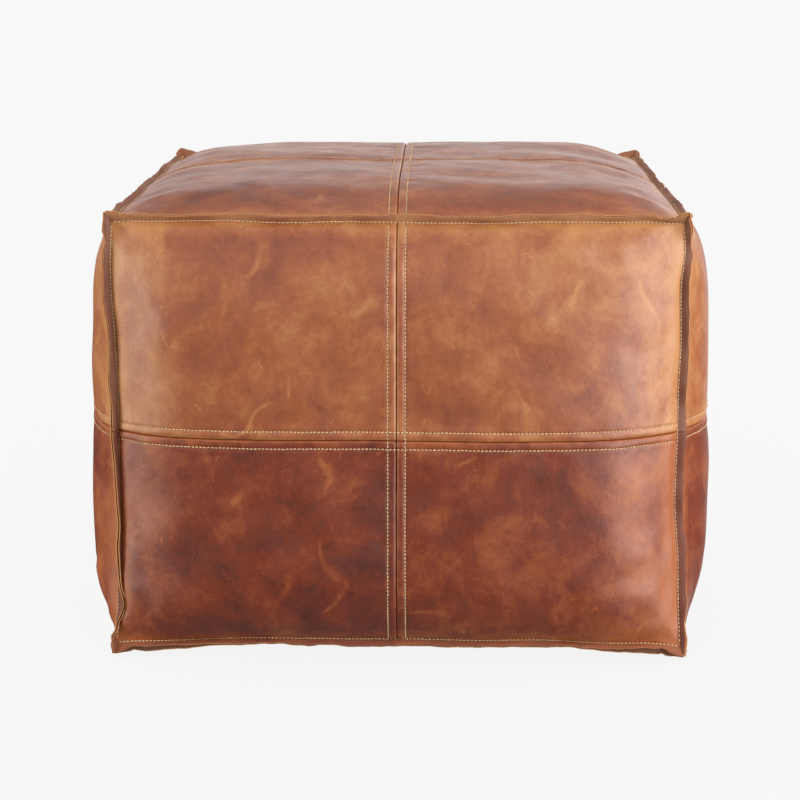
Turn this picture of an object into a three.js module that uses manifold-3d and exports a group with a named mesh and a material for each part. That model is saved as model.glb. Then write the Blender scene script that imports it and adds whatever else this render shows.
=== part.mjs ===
// Square leather floor pouf: a stuffed cube cover sewn from four leather panels on each face,
// an inner cotton bag with its filling, and a zip fastener let into the base.
// Units are millimetres, +Z is up, the front faces -Y.
// The origin is on the floor, under the middle of the pouf.
import * as THREE from "three";
import { mergeVertices } from "three/addons/utils/BufferGeometryUtils.js";
import Module from "manifold-3d";

const wasm = await Module();
wasm.setup();

// ---------------------------------------------------------------- driving dimensions
const SEAM_WIDTH_TOP = 516; // corner seam to corner seam along a top edge
const BASE_SPREAD = 1.028; // the weight spreads the base edges by this ratio
const SEAM_HEIGHT = 396; // base edge seam to top edge seam
const HEM_HEIGHT = 18; // the base edge seams stay this far off the floor
const LEATHER = 1.4; // thickness of one layer
const SEAM_GAP = 0.5; // between two panels at an open seam
const LAYER_GAP = 0.3; // between two layers that lie against each other
const FLANGE = 8; // how far the raw seam flanges stand out
const ALLOWANCE = 9.5; // turned-back leather under each side of an open seam

const SIDE_BULGE = 37;
const TOP_BULGE = 29;
const SIDE_BULGE_LIFT = 0.075; // the fullest point of a side lies this far above its seam
const LEVEL_SEAM_RISE = 5.5; // the sides' level seams lie this far above the middle
// How each profile swells: the power that keeps its middle flat, and the power of its edge.
const PLAN_SWELL = [4.5, 0.62];
const UPRIGHT_SWELL = [4.8, 0.62];
const TOP_SWELL = [5.1, 0.6];

const LINER_INSET = 5; // cotton bag's outer face below the leather's outer face
const LINER_THICKNESS = 1.2;
const FILLING_CLEARANCE = 0.6;
const LINER_MOUTH_LENGTH = 240;
const LINER_MOUTH_WIDTH = 4;

const TAPE_LENGTH = 420;
const TAPE_WIDTH = 16.4;
const TAPE_THICKNESS = 0.6;
const COIL_LENGTH = 400;
const COIL_WIDTH = 3;
const COIL_THICKNESS = 2.4;
const CHAIN_GAP = 1.2; // between the two halves of the chain, for the slider's post
const STOP_LENGTH = 3;
const SLIDER_LENGTH = 13;
const SLIDER_PLATE = 1.2;
const SLIDER_WALL = 1;
const STOP_GAP = 0.4; // between the end of the chain and a stop
const STOP_DROP = 1; // a stop hangs this far below the coil
const SLIDER_CHAMFER = 3; // at the mouth, along the slider
const SLIDER_CORNER = 2;
const POST_HALF = 0.3; // half the width of the wedge post between the two coils
const POST_START = 1.5; // the post begins this far from the slider's middle
const ARCH_HEIGHT = 4;
const ARCH_BAR = 1;
const ARCH_HALF_WIDTH = 1;
const ARCH_LEG = [3, 4.2]; // each leg's near and far side, from the slider's middle
const PULL_LENGTH = 30;
const PULL_WIDTH = 8;
const PULL_THICKNESS = 1.4;
const PULL_NECK_HALF = 2.6;
const PULL_SLOT_HALF = 1.4;
const PULL_SLOT_END = -9; // the slot runs from the turning axis to here

// ---------------------------------------------------------------- derived sizes
const TOP_HALF = SEAM_WIDTH_TOP / 2;
const BASE_HALF = TOP_HALF * BASE_SPREAD;
const TOP_SEAM_Z = HEM_HEIGHT + SEAM_HEIGHT;
const SHUT_GAP = 0.5; // slider to the end of the chain, zip shut
const ZIP_SHUT_Y = COIL_LENGTH / 2 - SLIDER_LENGTH / 2 - SHUT_GAP; // slider's middle, zip shut

// Heights of the zip fastener's layers, from the recessed leather edge upwards.
const RECESS_Z = 9;
const COIL_BOTTOM = RECESS_Z + 0.4;
const COIL_TOP = COIL_BOTTOM + COIL_THICKNESS;
const TAPE_BOTTOM = COIL_TOP + LAYER_GAP;
const TAPE_TOP = TAPE_BOTTOM + TAPE_THICKNESS;
const SLIDER_HALF_WIDTH = CHAIN_GAP / 2 + COIL_WIDTH + LAYER_GAP + SLIDER_WALL;
const LOWER_PLATE_TOP = COIL_BOTTOM - LAYER_GAP;
const LOWER_PLATE_BOTTOM = LOWER_PLATE_TOP - SLIDER_PLATE;
const UPPER_PLATE_BOTTOM = TAPE_TOP + 0.4;
const UPPER_PLATE_TOP = UPPER_PLATE_BOTTOM + SLIDER_PLATE;
const PULL_AXIS_Z = LOWER_PLATE_BOTTOM - (ARCH_HEIGHT - ARCH_BAR) / 2;

// The recess in the base that the zip lies in: its flat floor, its ramps and its ends.
const RECESS_FLAT = 16;
const RECESS_RAMP = 40;
const RECESS_END_START = 0.82;
const RECESS_END = 1;
const ZIP_GAP_HALF = SLIDER_HALF_WIDTH + 0.4;
const GAP_SHUT_START = 0.83; // the opening narrows between these shares of the half length
const GAP_SHUT_END = 0.94;
const LINER_OVER_ZIP_Z = UPPER_PLATE_TOP + 0.9;
const LINER_ZIP_FLAT = 20; // the cotton bag runs level over the zip to here, then
const LINER_ZIP_RAMP = 44; // slopes down to the base out to here
const BASE_FLAT = 0.75; // share of the base's half width that lies flat on the floor

// Stations across half a face, as shares of the half width, from a centre seam to an edge.
const STATIONS = [0.35, 0.62, 0.82, 0.94];
const TAPER = 2; // the turned-back leather thins out over this width

const STITCH_ROW = 7.9; // from an open seam's middle to each of its two rows of stitches
const ZIP_STITCH_ROW = 10.5; // from the zip's middle to the row that holds its tape
const EDGE_STITCH_ROW = 2; // from an edge seam's root up its flange
const THREAD_WIDTH = 0.9;
const THREAD_HEIGHT = 0.5;
const THREAD_LIFT = 0.35; // between the leather and the thread lying on it
const THREAD_OVER = 0.15; // how much higher a crossing row lies
const CROSS_SEAM_LIFT = 1.4; // the base's cross seam keeps its thread off the floor by this

const COLOURS = {
  upper: "#b27a58",
  lower: "#8f5a40",
  top: "#a97d66",
  base: "#6f4733",
  cotton: "#d8cdb8",
  filling: "#e9e4da",
  tape: "#3a2c22",
  coil: "#4a3a2c",
  brass: "#9c7b45",
  thread: "#d9c49a",
};

// ---------------------------------------------------------------- the stuffed cube's surface
// How far a face swells at a share x of its half width: 1 in the middle, 0 at a seam.
function swell(x, [middle, edge]) {
  return Math.pow(Math.max(0, 1 - Math.pow(Math.abs(x), middle)), edge);
}

function mix(a, b, t) {
  return a + (b - a) * t;
}

// A side face's surface at (u, v), moved inwards by inset.
function sidePoint(face, u, v, inset) {
  const rise = (v + 1) / 2;
  const half = mix(BASE_HALF, TOP_HALF, rise) - inset;
  const lifted = v - SIDE_BULGE_LIFT * (1 - v * v);
  const bulge = SIDE_BULGE * swell(u, PLAN_SWELL) * swell(lifted, UPRIGHT_SWELL);
  const even = mix(HEM_HEIGHT + inset, TOP_SEAM_Z - inset, rise);
  const z = even + LEVEL_SEAM_RISE * (1 - v * v);
  return new THREE.Vector3(0, 0, z)
    .addScaledVector(face.across, u * half)
    .addScaledVector(face.normal, half + bulge);
}

function topPoint(face, u, v, inset) {
  const half = TOP_HALF - inset;
  const bulge = TOP_BULGE * swell(u, TOP_SWELL) * swell(v, TOP_SWELL);
  return new THREE.Vector3(u * half, v * half, TOP_SEAM_Z - inset + bulge);
}

// Share of the hem height at x: 0 where the base lies on the floor, 1 at its edge.
function hemRise(u, v) {
  const flat = (x) => {
    const past = Math.max(0, Math.abs(x) - BASE_FLAT) / (1 - BASE_FLAT);
    return 1 - past * past;
  };
  return 1 - flat(u) * flat(v);
}

// A point of the base, with the zip's recess along the Y axis and the cross seam's
// shallow channel along the X axis.
function basePoint(face, u, v, inset, recess) {
  const half = BASE_HALF - inset;
  const x = u * half;
  const y = -v * half;
  const ramp = THREE.MathUtils.clamp(
    (RECESS_RAMP - Math.abs(x)) / (RECESS_RAMP - RECESS_FLAT), 0, 1);
  const end = THREE.MathUtils.clamp(
    (RECESS_END - Math.abs(v)) / (RECESS_END - RECESS_END_START), 0, 1);
  const beside = THREE.MathUtils.clamp((ALLOWANCE + TAPER - Math.abs(y)) / TAPER, 0, 1);
  const channel = CROSS_SEAM_LIFT * beside;
  const z = Math.max(HEM_HEIGHT * hemRise(u, v), recess * ramp * end, channel);
  return new THREE.Vector3(x, y, z + inset);
}

const axis = (x, y, z) => new THREE.Vector3(x, y, z);
const FACES = {
  front: { normal: axis(0, -1, 0), across: axis(1, 0, 0), up: axis(0, 0, 1), point: sidePoint },
  back: { normal: axis(0, 1, 0), across: axis(-1, 0, 0), up: axis(0, 0, 1), point: sidePoint },
  left: { normal: axis(-1, 0, 0), across: axis(0, -1, 0), up: axis(0, 0, 1), point: sidePoint },
  right: { normal: axis(1, 0, 0), across: axis(0, 1, 0), up: axis(0, 0, 1), point: sidePoint },
  top: { normal: axis(0, 0, 1), across: axis(1, 0, 0), up: axis(0, 1, 0), point: topPoint },
  base: { normal: axis(0, 0, -1), across: axis(1, 0, 0), up: axis(0, -1, 0), point: basePoint },
};

// ---------------------------------------------------------------- mesh helpers
// A closed geometry from grid faces: shared corners are merged and empty triangles dropped.
function closedGeometry(triangles) {
  const positions = triangles.flatMap((t) => t.flatMap((p) => [p.x, p.y, p.z]));
  const soup = new THREE.BufferGeometry();
  soup.setAttribute("position", new THREE.Float32BufferAttribute(positions, 3));
  const merged = mergeVertices(soup, 1e-3);
  const index = Array.from(merged.index.array);
  const kept = [];
  for (let i = 0; i < index.length; i += 3) {
    const [a, b, c] = index.slice(i, i + 3);
    if (a !== b && b !== c && c !== a) kept.push(a, b, c);
  }
  merged.setIndex(kept);
  merged.computeVertexNormals();
  return merged;
}

// The two triangles of a quad whose corners run anticlockwise seen from outside.
function quad(a, b, c, d) {
  return [[a, b, c], [a, c, d]];
}

function solid(geometry) {
  const bare = geometry.index ? geometry.toNonIndexed() : geometry.clone();
  const points = new THREE.BufferGeometry();
  points.setAttribute("position", bare.getAttribute("position"));
  const merged = mergeVertices(points, 1e-4);
  return new wasm.Manifold(new wasm.Mesh({
    numProp: 3,
    vertProperties: merged.attributes.position.array,
    triVerts: new Uint32Array(merged.index.array),
  }));
}

function geometryOf(body) {
  const mesh = body.getMesh();
  const geometry = new THREE.BufferGeometry();
  geometry.setAttribute("position", new THREE.BufferAttribute(mesh.vertProperties, 3));
  geometry.setIndex(new THREE.BufferAttribute(mesh.triVerts, 1));
  geometry.computeVertexNormals();
  return geometry;
}

// A box between two heights, given by its low and high X and Y.
function block(x0, x1, y0, y1, z0, z1) {
  const geometry = new THREE.BoxGeometry(x1 - x0, y1 - y0, z1 - z0);
  return geometry.translate((x0 + x1) / 2, (y0 + y1) / 2, (z0 + z1) / 2);
}

const pouf = new THREE.Group();
function addNode(name, geometry, colour, roughness, metalness = 0) {
  const material = new THREE.MeshStandardMaterial({ color: colour, roughness, metalness });
  const mesh = new THREE.Mesh(geometry, material);
  mesh.name = name;
  pouf.add(mesh);
  return mesh;
}

// ---------------------------------------------------------------- leather panels
// The direction a flange stands out in, and the direction towards this face's layer.
function flangeAt(normals, own) {
  const out = normals.reduce((sum, n) => sum.add(n), new THREE.Vector3()).normalize();
  const aside = own.clone().addScaledVector(out, -own.dot(out)).normalize();
  const lean = normals.length === 3 ? 2 / Math.sqrt(3) : 1;
  return { out, aside, near: (LAYER_GAP / 2) * lean, far: (LAYER_GAP / 2 + LEATHER) * lean };
}

// The four points where a panel turns out into its flange at an edge or corner.
function flangePoints(edge, flange) {
  const at = (side, out) =>
    edge.clone().addScaledVector(flange.aside, side).addScaledVector(flange.out, out);
  return {
    groove: at(flange.far, LEATHER / 2),
    tipOuter: at(flange.far, FLANGE),
    tipInner: at(flange.near, FLANGE),
    root: at(flange.near, -1.4 * LEATHER),
  };
}

// Shares of the half width where a panel has grid lines, for one direction.
function stationsFrom(gapHalf, foldHalf, half) {
  return [gapHalf / half, foldHalf / half, (foldHalf + TAPER) / half, ...STATIONS, 1];
}

// Half the gap between the base panels: wide along the zip, closed past its ends.
function baseGap(v) {
  const past = Math.abs(v) - GAP_SHUT_START;
  const shut = THREE.MathUtils.clamp(past / (GAP_SHUT_END - GAP_SHUT_START), 0, 1);
  return mix(ZIP_GAP_HALF, SEAM_GAP / 2, shut);
}

// One quarter of a face: a thin shell, doubled under its two open seams,
// with a raw flange along its two outer edges.
function panelGeometry(face, signU, signV) {
  const isBase = face === FACES.base;
  const half = isBase ? BASE_HALF : TOP_HALF;
  const foldU = isBase ? RECESS_FLAT : ALLOWANCE;
  const linesU = stationsFrom(SEAM_GAP / 2, foldU, half);
  const linesV = stationsFrom(SEAM_GAP / 2, ALLOWANCE, half);
  if (isBase) linesU[2] = RECESS_RAMP / half;
  const last = linesU.length - 1;
  const normalU = face.across.clone().multiplyScalar(signU);
  const normalV = face.up.clone().multiplyScalar(signV);

  // Outer and inner points of the shell; past the last line they run along the flange.
  function shellPoints(i, j) {
    const shareV = linesV[Math.min(j, last)];
    const gapShare = isBase && i === 0 ? baseGap(shareV) / half : linesU[Math.min(i, last)];
    const u = signU * gapShare;
    const v = signV * shareV;
    if (i < last && j < last) {
      const doubled = i < 2 || j < 2;
      return {
        outer: face.point(face, u, v, 0, RECESS_Z),
        inner: insidePoint(u, v, doubled ? 2 * LEATHER : LEATHER),
      };
    }
    const edgeNormals = [face.normal];
    if (i >= last) edgeNormals.push(normalU);
    if (j >= last) edgeNormals.push(normalV);
    const edge = face.point(face, u, v, 0, 0);
    const flange = flangePoints(edge, flangeAt(edgeNormals, face.normal));
    const atTip = i > last || j > last;
    return atTip
      ? { outer: flange.tipOuter, inner: flange.tipInner }
      : { outer: flange.groove, inner: flange.root };
  }

  // The shell's inner face. The base's thickness is measured straight up.
  function insidePoint(u, v, thickness) {
    if (!isBase) return face.point(face, u, v, thickness);
    return face.point(face, u, v, 0, RECESS_Z).add(axis(0, 0, thickness));
  }

  const grid = [];
  for (let i = 0; i <= last + 1; i++) {
    grid.push([]);
    for (let j = 0; j <= last + 1; j++) grid[i].push(shellPoints(i, j));
  }

  const triangles = [];
  const flipped = signU * signV < 0;
  const addQuad = (a, b, c, d) => {
    triangles.push(...(flipped ? quad(d, c, b, a) : quad(a, b, c, d)));
  };
  const edgeCount = last + 1;
  for (let i = 0; i < edgeCount; i++) {
    for (let j = 0; j < edgeCount; j++) {
      if (i === last && j === last) continue; // both flanges share the corner's ear
      const [a, b, c, d] = [grid[i][j], grid[i + 1][j], grid[i + 1][j + 1], grid[i][j + 1]];
      addQuad(a.outer, b.outer, c.outer, d.outer);
      addQuad(d.inner, c.inner, b.inner, a.inner);
    }
  }
  const addRim = (p, q) => addQuad(p.outer, q.outer, q.inner, p.inner);
  for (let k = 0; k < edgeCount; k++) {
    addRim(grid[k + 1][0], grid[k][0]);
    addRim(grid[0][k], grid[0][k + 1]);
    if (k < last) {
      addRim(grid[edgeCount][k + 1], grid[edgeCount][k]);
      addRim(grid[k][edgeCount], grid[k + 1][edgeCount]);
    }
  }
  return closedGeometry(triangles);
}

function addFacePanels(faceName, columns, rows, colourOf) {
  for (const [signU, column] of columns) {
    for (const [signV, row] of rows) {
      const name = [faceName, row, column, "panel"].join("_");
      addNode(name, panelGeometry(FACES[faceName], signU, signV), colourOf(row), 0.5);
    }
  }
}

const UPRIGHT = [[-1, "lower"], [1, "upper"]];
const shade = (row) => COLOURS[row];
addFacePanels("front", [[-1, "left"], [1, "right"]], UPRIGHT, shade);
addFacePanels("back", [[1, "left"], [-1, "right"]], UPRIGHT, shade);
addFacePanels("left", [[1, "front"], [-1, "back"]], UPRIGHT, shade);
addFacePanels("right", [[-1, "front"], [1, "back"]], UPRIGHT, shade);
addFacePanels("top", [[-1, "left"], [1, "right"]], [[-1, "front"], [1, "back"]], () => COLOURS.top);
addFacePanels("base", [[-1, "left"], [1, "right"]], [[1, "front"], [-1, "back"]], () => COLOURS.base);

// ---------------------------------------------------------------- stitching
// A flat thread that runs through stations, each with its place and its lift direction.
// Crossing rows differ in lift, because one thread lies over the other.
function threadSolid(stations, lift0 = THREAD_LIFT) {
  const corners = stations.map(({ place, lift }, i) => {
    const before = stations[Math.max(0, i - 1)].place;
    const after = stations[Math.min(stations.length - 1, i + 1)].place;
    const aside = after.clone().sub(before).cross(lift).normalize();
    const at = (side, height) =>
      place.clone().addScaledVector(aside, side).addScaledVector(lift, height);
    const half = THREAD_WIDTH / 2;
    const top = lift0 + THREAD_HEIGHT;
    return [at(-half, lift0), at(half, lift0), at(half, top), at(-half, top)];
  });
  const triangles = [];
  const [first, last] = [corners[0], corners[corners.length - 1]];
  triangles.push(...quad(first[0], first[1], first[2], first[3]));
  triangles.push(...quad(last[3], last[2], last[1], last[0]));
  for (let i = 0; i + 1 < corners.length; i++) {
    for (let k = 0; k < 4; k++) {
      const next = (k + 1) % 4;
      const [here, ahead] = [corners[i], corners[i + 1]];
      triangles.push(...quad(ahead[k], ahead[next], here[next], here[k]));
    }
  }
  return solid(closedGeometry(triangles));
}

// A place on the leather's outer face and the direction that faces away from it.
function leatherStation(face, u, v) {
  const step = 1e-3;
  const at = (a, b) => face.point(face, a, b, 0, RECESS_Z);
  const place = at(u, v);
  const alongU = at(u + step, v).sub(at(u - step, v));
  const alongV = at(u, v + step).sub(at(u, v - step));
  return { place, lift: alongU.cross(alongV).normalize() };
}

// Stations along a half seam, out to just short of the edge seam.
function rowShares(gapHalf, fold, half) {
  const lines = [gapHalf / half, fold / half, (fold + TAPER) / half, ...STATIONS];
  return [...lines, mix(STATIONS[STATIONS.length - 1], 1, 0.4)];
}

// The thread of one row beside an open seam: "u" rows run across the face, "v" rows up it.
function rowSolid(face, direction, offset, shares) {
  const stations = shares.map((share) => (direction === "v"
    ? leatherStation(face, offset, share)
    : leatherStation(face, share, offset)));
  return threadSolid(stations, direction === "v" ? THREAD_LIFT : THREAD_LIFT + THREAD_OVER);
}

function mirroredShares(shares) {
  return [...shares.map((s) => -s).reverse(), ...shares];
}

// The four rows of a face's crossed open seams, joined where they cross.
function addFaceStitching(faceName) {
  const face = FACES[faceName];
  const offset = STITCH_ROW / TOP_HALF;
  const shares = mirroredShares(rowShares(SEAM_GAP / 2, ALLOWANCE, TOP_HALF));
  const rows = [];
  for (const sign of [-1, 1]) {
    rows.push(rowSolid(face, "v", sign * offset, shares));
    rows.push(rowSolid(face, "u", sign * offset, shares));
  }
  const joined = rows.reduce((sum, row) => sum.add(row));
  addNode(faceName + "_stitching", geometryOf(joined), COLOURS.thread, 0.7);
}

// The base's stitching on one side of the zip: the row that holds the tape, joined to
// that side's half of the cross seam's two rows.
function addBaseStitching(side, name) {
  const face = FACES.base;
  const along = mirroredShares(rowShares(SEAM_GAP / 2, ALLOWANCE, BASE_HALF).slice(0, -2));
  const zipRow = rowSolid(face, "v", (side * ZIP_STITCH_ROW) / BASE_HALF, along);
  const start = (ZIP_STITCH_ROW - THREAD_WIDTH) / BASE_HALF;
  const across = [start, RECESS_FLAT / BASE_HALF, RECESS_RAMP / BASE_HALF, ...STATIONS];
  const signed = across.map((share) => side * share).sort((a, b) => a - b);
  const offset = STITCH_ROW / BASE_HALF;
  const rows = [-1, 1].map((sign) => rowSolid(face, "u", sign * offset, signed));
  const joined = rows.reduce((sum, row) => sum.add(row), zipRow);
  addNode("base_" + name + "_stitching", geometryOf(joined), COLOURS.thread, 0.7);
}

// The row of stitches at the root of an edge seam's flange, on the layer of one face.
// fixed is the direction that is at its edge, with its sign; the row runs along the other.
function addEdgeStitching(name, faceName, fixed, sign) {
  const face = FACES[faceName];
  const other = (fixed === "u" ? face.across : face.up).clone().multiplyScalar(sign);
  const flange = flangeAt([face.normal, other], face.normal);
  const shares = mirroredShares(rowShares(SEAM_GAP / 2, ALLOWANCE, TOP_HALF));
  const stations = shares.map((share) => {
    const edge = fixed === "u"
      ? face.point(face, sign, share, 0, 0)
      : face.point(face, share, sign, 0, 0);
    const place = edge
      .addScaledVector(flange.out, EDGE_STITCH_ROW)
      .addScaledVector(flange.aside, flange.far);
    return { place, lift: flange.aside };
  });
  addNode(name, geometryOf(threadSolid(stations)), COLOURS.thread, 0.7);
}

for (const faceName of ["front", "back", "left", "right", "top"]) addFaceStitching(faceName);
addBaseStitching(-1, "left");
addBaseStitching(1, "right");
for (const faceName of ["front", "back", "left", "right"]) {
  addEdgeStitching("top_edge_" + faceName + "_thread", faceName, "v", 1);
  addEdgeStitching("hem_" + faceName + "_thread", faceName, "v", -1);
}
addEdgeStitching("corner_front_left_thread", "front", "u", -1);
addEdgeStitching("corner_front_right_thread", "front", "u", 1);
addEdgeStitching("corner_back_left_thread", "back", "u", 1);
addEdgeStitching("corner_back_right_thread", "back", "u", -1);

// ---------------------------------------------------------------- cotton bag and filling
// A closed form that follows the cover from inside, at one inset.
function innerForm(inset) {
  const mirrored = (shares) => [...shares.map((s) => -s).reverse(), ...shares.slice(1)];
  const outerShares = [...STATIONS.slice(1), 1];
  const zipShares = [LINER_ZIP_FLAT / BASE_HALF, LINER_ZIP_RAMP / BASE_HALF];
  const linesX = mirrored([0, ...zipShares, ...outerShares]);
  const linesYZ = mirrored([0, ...outerShares]);
  const overZip = LINER_OVER_ZIP_Z + inset - LINER_INSET;
  const triangles = [];
  for (const face of Object.values(FACES)) {
    const linesU = face.across.x === 0 ? linesYZ : linesX;
    const at = (i, j) => {
      const u = linesU[i];
      const v = linesYZ[j];
      if (face !== FACES.base) return face.point(face, u, v, inset);
      const p = face.point(face, u, v, inset, 0);
      const overTheZip = Math.abs(p.x) <= LINER_ZIP_FLAT && Math.abs(v) < 1;
      return overTheZip ? p.setZ(overZip) : p;
    };
    for (let i = 0; i + 1 < linesU.length; i++) {
      for (let j = 0; j + 1 < linesYZ.length; j++) {
        triangles.push(...quad(at(i, j), at(i + 1, j), at(i + 1, j + 1), at(i, j + 1)));
      }
    }
  }
  return closedGeometry(triangles);
}

function addInnerBag() {
  const outer = solid(innerForm(LINER_INSET));
  const inner = solid(innerForm(LINER_INSET + LINER_THICKNESS));
  const mouth = solid(block(
    -LINER_MOUTH_WIDTH / 2, LINER_MOUTH_WIDTH / 2,
    -LINER_MOUTH_LENGTH / 2, LINER_MOUTH_LENGTH / 2,
    LINER_OVER_ZIP_Z - 2, LINER_OVER_ZIP_Z + 3));
  const bag = outer.subtract(inner).subtract(mouth);
  addNode("inner_cotton_bag", geometryOf(bag), COLOURS.cotton, 0.9);
}

function addFilling() {
  const inset = LINER_INSET + LINER_THICKNESS + FILLING_CLEARANCE;
  addNode("fibre_filling", innerForm(inset), COLOURS.filling, 1);
}

addInnerBag();
addFilling();

// ---------------------------------------------------------------- zip fastener
function addZipHalf(side, name) {
  const near = (side * CHAIN_GAP) / 2;
  const span = (width) => [near, near + side * width].sort((a, b) => a - b);
  const [tape0, tape1] = span(TAPE_WIDTH);
  const [coil0, coil1] = span(COIL_WIDTH);
  const tapeEnd = TAPE_LENGTH / 2;
  const coilEnd = COIL_LENGTH / 2;
  const stopStart = coilEnd + STOP_GAP;
  const stopBottom = COIL_BOTTOM - STOP_DROP;
  addNode("zip_tape_" + name,
    block(tape0, tape1, -tapeEnd, tapeEnd, TAPE_BOTTOM, TAPE_TOP), COLOURS.tape, 0.9);
  addNode("zip_coil_" + name,
    block(coil0, coil1, -coilEnd, coilEnd, COIL_BOTTOM, COIL_TOP), COLOURS.coil, 0.5);
  addNode("zip_top_stop_" + name,
    block(coil0, coil1, stopStart, stopStart + STOP_LENGTH, stopBottom, COIL_TOP),
    COLOURS.brass, 0.35, 1);
}

function addZipEndStop() {
  const half = CHAIN_GAP / 2 + COIL_WIDTH;
  const start = -COIL_LENGTH / 2 - STOP_GAP;
  const stop = block(-half, half, start - STOP_LENGTH, start, COIL_BOTTOM - STOP_DROP, COIL_TOP);
  addNode("zip_bottom_stop", stop, COLOURS.brass, 0.35, 1);
}

// A slider plate: wide at its mouth, narrowing to the closing end.
function sliderPlate(bottom) {
  const w = SLIDER_HALF_WIDTH;
  const l = SLIDER_LENGTH / 2;
  const r = SLIDER_CORNER;
  const outline = new THREE.Shape();
  outline.moveTo(-w, -l + r);
  outline.quadraticCurveTo(-w, -l, -w + r, -l);
  outline.lineTo(w - r, -l);
  outline.quadraticCurveTo(w, -l, w, -l + r);
  outline.lineTo(w, l - SLIDER_CHAMFER);
  outline.lineTo(w - r, l);
  outline.lineTo(-w + r, l);
  outline.lineTo(-w, l - SLIDER_CHAMFER);
  outline.closePath();
  const settings = { depth: SLIDER_PLATE, bevelEnabled: false, curveSegments: 3 };
  return solid(new THREE.ExtrudeGeometry(outline, settings).translate(0, 0, bottom));
}

// The slider: two plates joined by the wedge post, side walls that guide the chain,
// and the arch under the lower plate that carries the pull.
function addSlider() {
  const w = SLIDER_HALF_WIDTH;
  const l = SLIDER_LENGTH / 2;
  const bite = 0.2; // pieces of the one casting run into each other by this much
  const post = block(
    -POST_HALF, POST_HALF, POST_START, l - SHUT_GAP,
    LOWER_PLATE_TOP - bite, UPPER_PLATE_BOTTOM + bite);
  const wallTop = TAPE_BOTTOM - LAYER_GAP;
  const archBottom = LOWER_PLATE_BOTTOM - ARCH_HEIGHT;
  let body = sliderPlate(LOWER_PLATE_BOTTOM).add(sliderPlate(UPPER_PLATE_BOTTOM));
  body = body.add(solid(post));
  for (const side of [-1, 1]) {
    const [x0, x1] = [side * (w - SLIDER_WALL), side * w].sort((a, b) => a - b);
    const wall = block(
      x0, x1, -l + SLIDER_CORNER, l - SLIDER_CHAMFER, LOWER_PLATE_TOP - bite, wallTop);
    const [y0, y1] = ARCH_LEG.map((y) => side * y).sort((a, b) => a - b);
    const leg = block(
      -ARCH_HALF_WIDTH, ARCH_HALF_WIDTH, y0, y1, archBottom + bite, LOWER_PLATE_BOTTOM + bite);
    body = body.add(solid(wall)).add(solid(leg));
  }
  const barEnd = ARCH_LEG[1];
  const bar = block(
    -ARCH_HALF_WIDTH, ARCH_HALF_WIDTH, -barEnd, barEnd, archBottom, archBottom + ARCH_BAR);
  body = body.add(solid(bar));
  const mesh = addNode("zip_slider", geometryOf(body), COLOURS.brass, 0.35, 1);
  mesh.position.y = ZIP_SHUT_Y;
}

// The pull: a flat tag whose end bar passes through the slider's arch.
// Its turning axis runs along X through the middle of that bar.
function addPull() {
  const bar = PULL_THICKNESS / 2;
  const neck = PULL_NECK_HALF;
  const slot = PULL_SLOT_HALF;
  const neckEnd = PULL_SLOT_END + 1;
  const wideStart = PULL_SLOT_END - 2;
  const w = PULL_WIDTH / 2;
  const tag = new THREE.Shape();
  tag.moveTo(-neck, bar);
  tag.lineTo(-neck, neckEnd);
  tag.lineTo(-w, wideStart);
  tag.lineTo(-w, -PULL_LENGTH + w);
  tag.absarc(0, -PULL_LENGTH + w, w, Math.PI, 2 * Math.PI, false);
  tag.lineTo(w, wideStart);
  tag.lineTo(neck, neckEnd);
  tag.lineTo(neck, bar);
  tag.closePath();
  const hole = new THREE.Path();
  hole.moveTo(-slot, -bar);
  hole.lineTo(-slot, PULL_SLOT_END);
  hole.lineTo(slot, PULL_SLOT_END);
  hole.lineTo(slot, -bar);
  hole.closePath();
  tag.holes.push(hole);
  const settings = { depth: PULL_THICKNESS, bevelEnabled: false, curveSegments: 6 };
  const geometry = new THREE.ExtrudeGeometry(tag, settings).translate(0, 0, -bar);
  const mesh = addNode("zip_pull", geometry, COLOURS.brass, 0.35, 1);
  mesh.position.set(0, ZIP_SHUT_Y, PULL_AXIS_Z);
}

addZipHalf(-1, "left");
addZipHalf(1, "right");
addZipEndStop();
addSlider();
addPull();

export default pouf;
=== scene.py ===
import math

import bpy
import numpy as np
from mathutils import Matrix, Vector


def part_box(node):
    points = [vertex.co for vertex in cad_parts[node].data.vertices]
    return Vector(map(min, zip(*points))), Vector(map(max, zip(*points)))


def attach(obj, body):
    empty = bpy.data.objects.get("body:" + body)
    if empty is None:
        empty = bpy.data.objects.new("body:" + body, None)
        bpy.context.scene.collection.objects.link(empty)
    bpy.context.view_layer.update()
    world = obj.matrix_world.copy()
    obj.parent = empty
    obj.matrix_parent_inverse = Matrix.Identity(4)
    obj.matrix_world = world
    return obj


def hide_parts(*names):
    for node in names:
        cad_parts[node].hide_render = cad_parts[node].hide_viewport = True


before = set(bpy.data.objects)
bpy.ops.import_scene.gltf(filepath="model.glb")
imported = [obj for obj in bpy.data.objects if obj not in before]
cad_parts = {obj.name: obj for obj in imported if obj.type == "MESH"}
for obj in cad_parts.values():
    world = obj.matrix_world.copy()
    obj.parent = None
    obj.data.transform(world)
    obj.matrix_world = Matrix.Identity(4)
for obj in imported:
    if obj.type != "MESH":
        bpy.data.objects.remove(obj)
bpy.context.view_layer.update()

# A square leather pouf: a stuffed cube whose faces are sewn from four leather panels each.
# Sizes are in millimetres until a mesh is made; the frame is the CAD part's frame.

MM = 0.001

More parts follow.
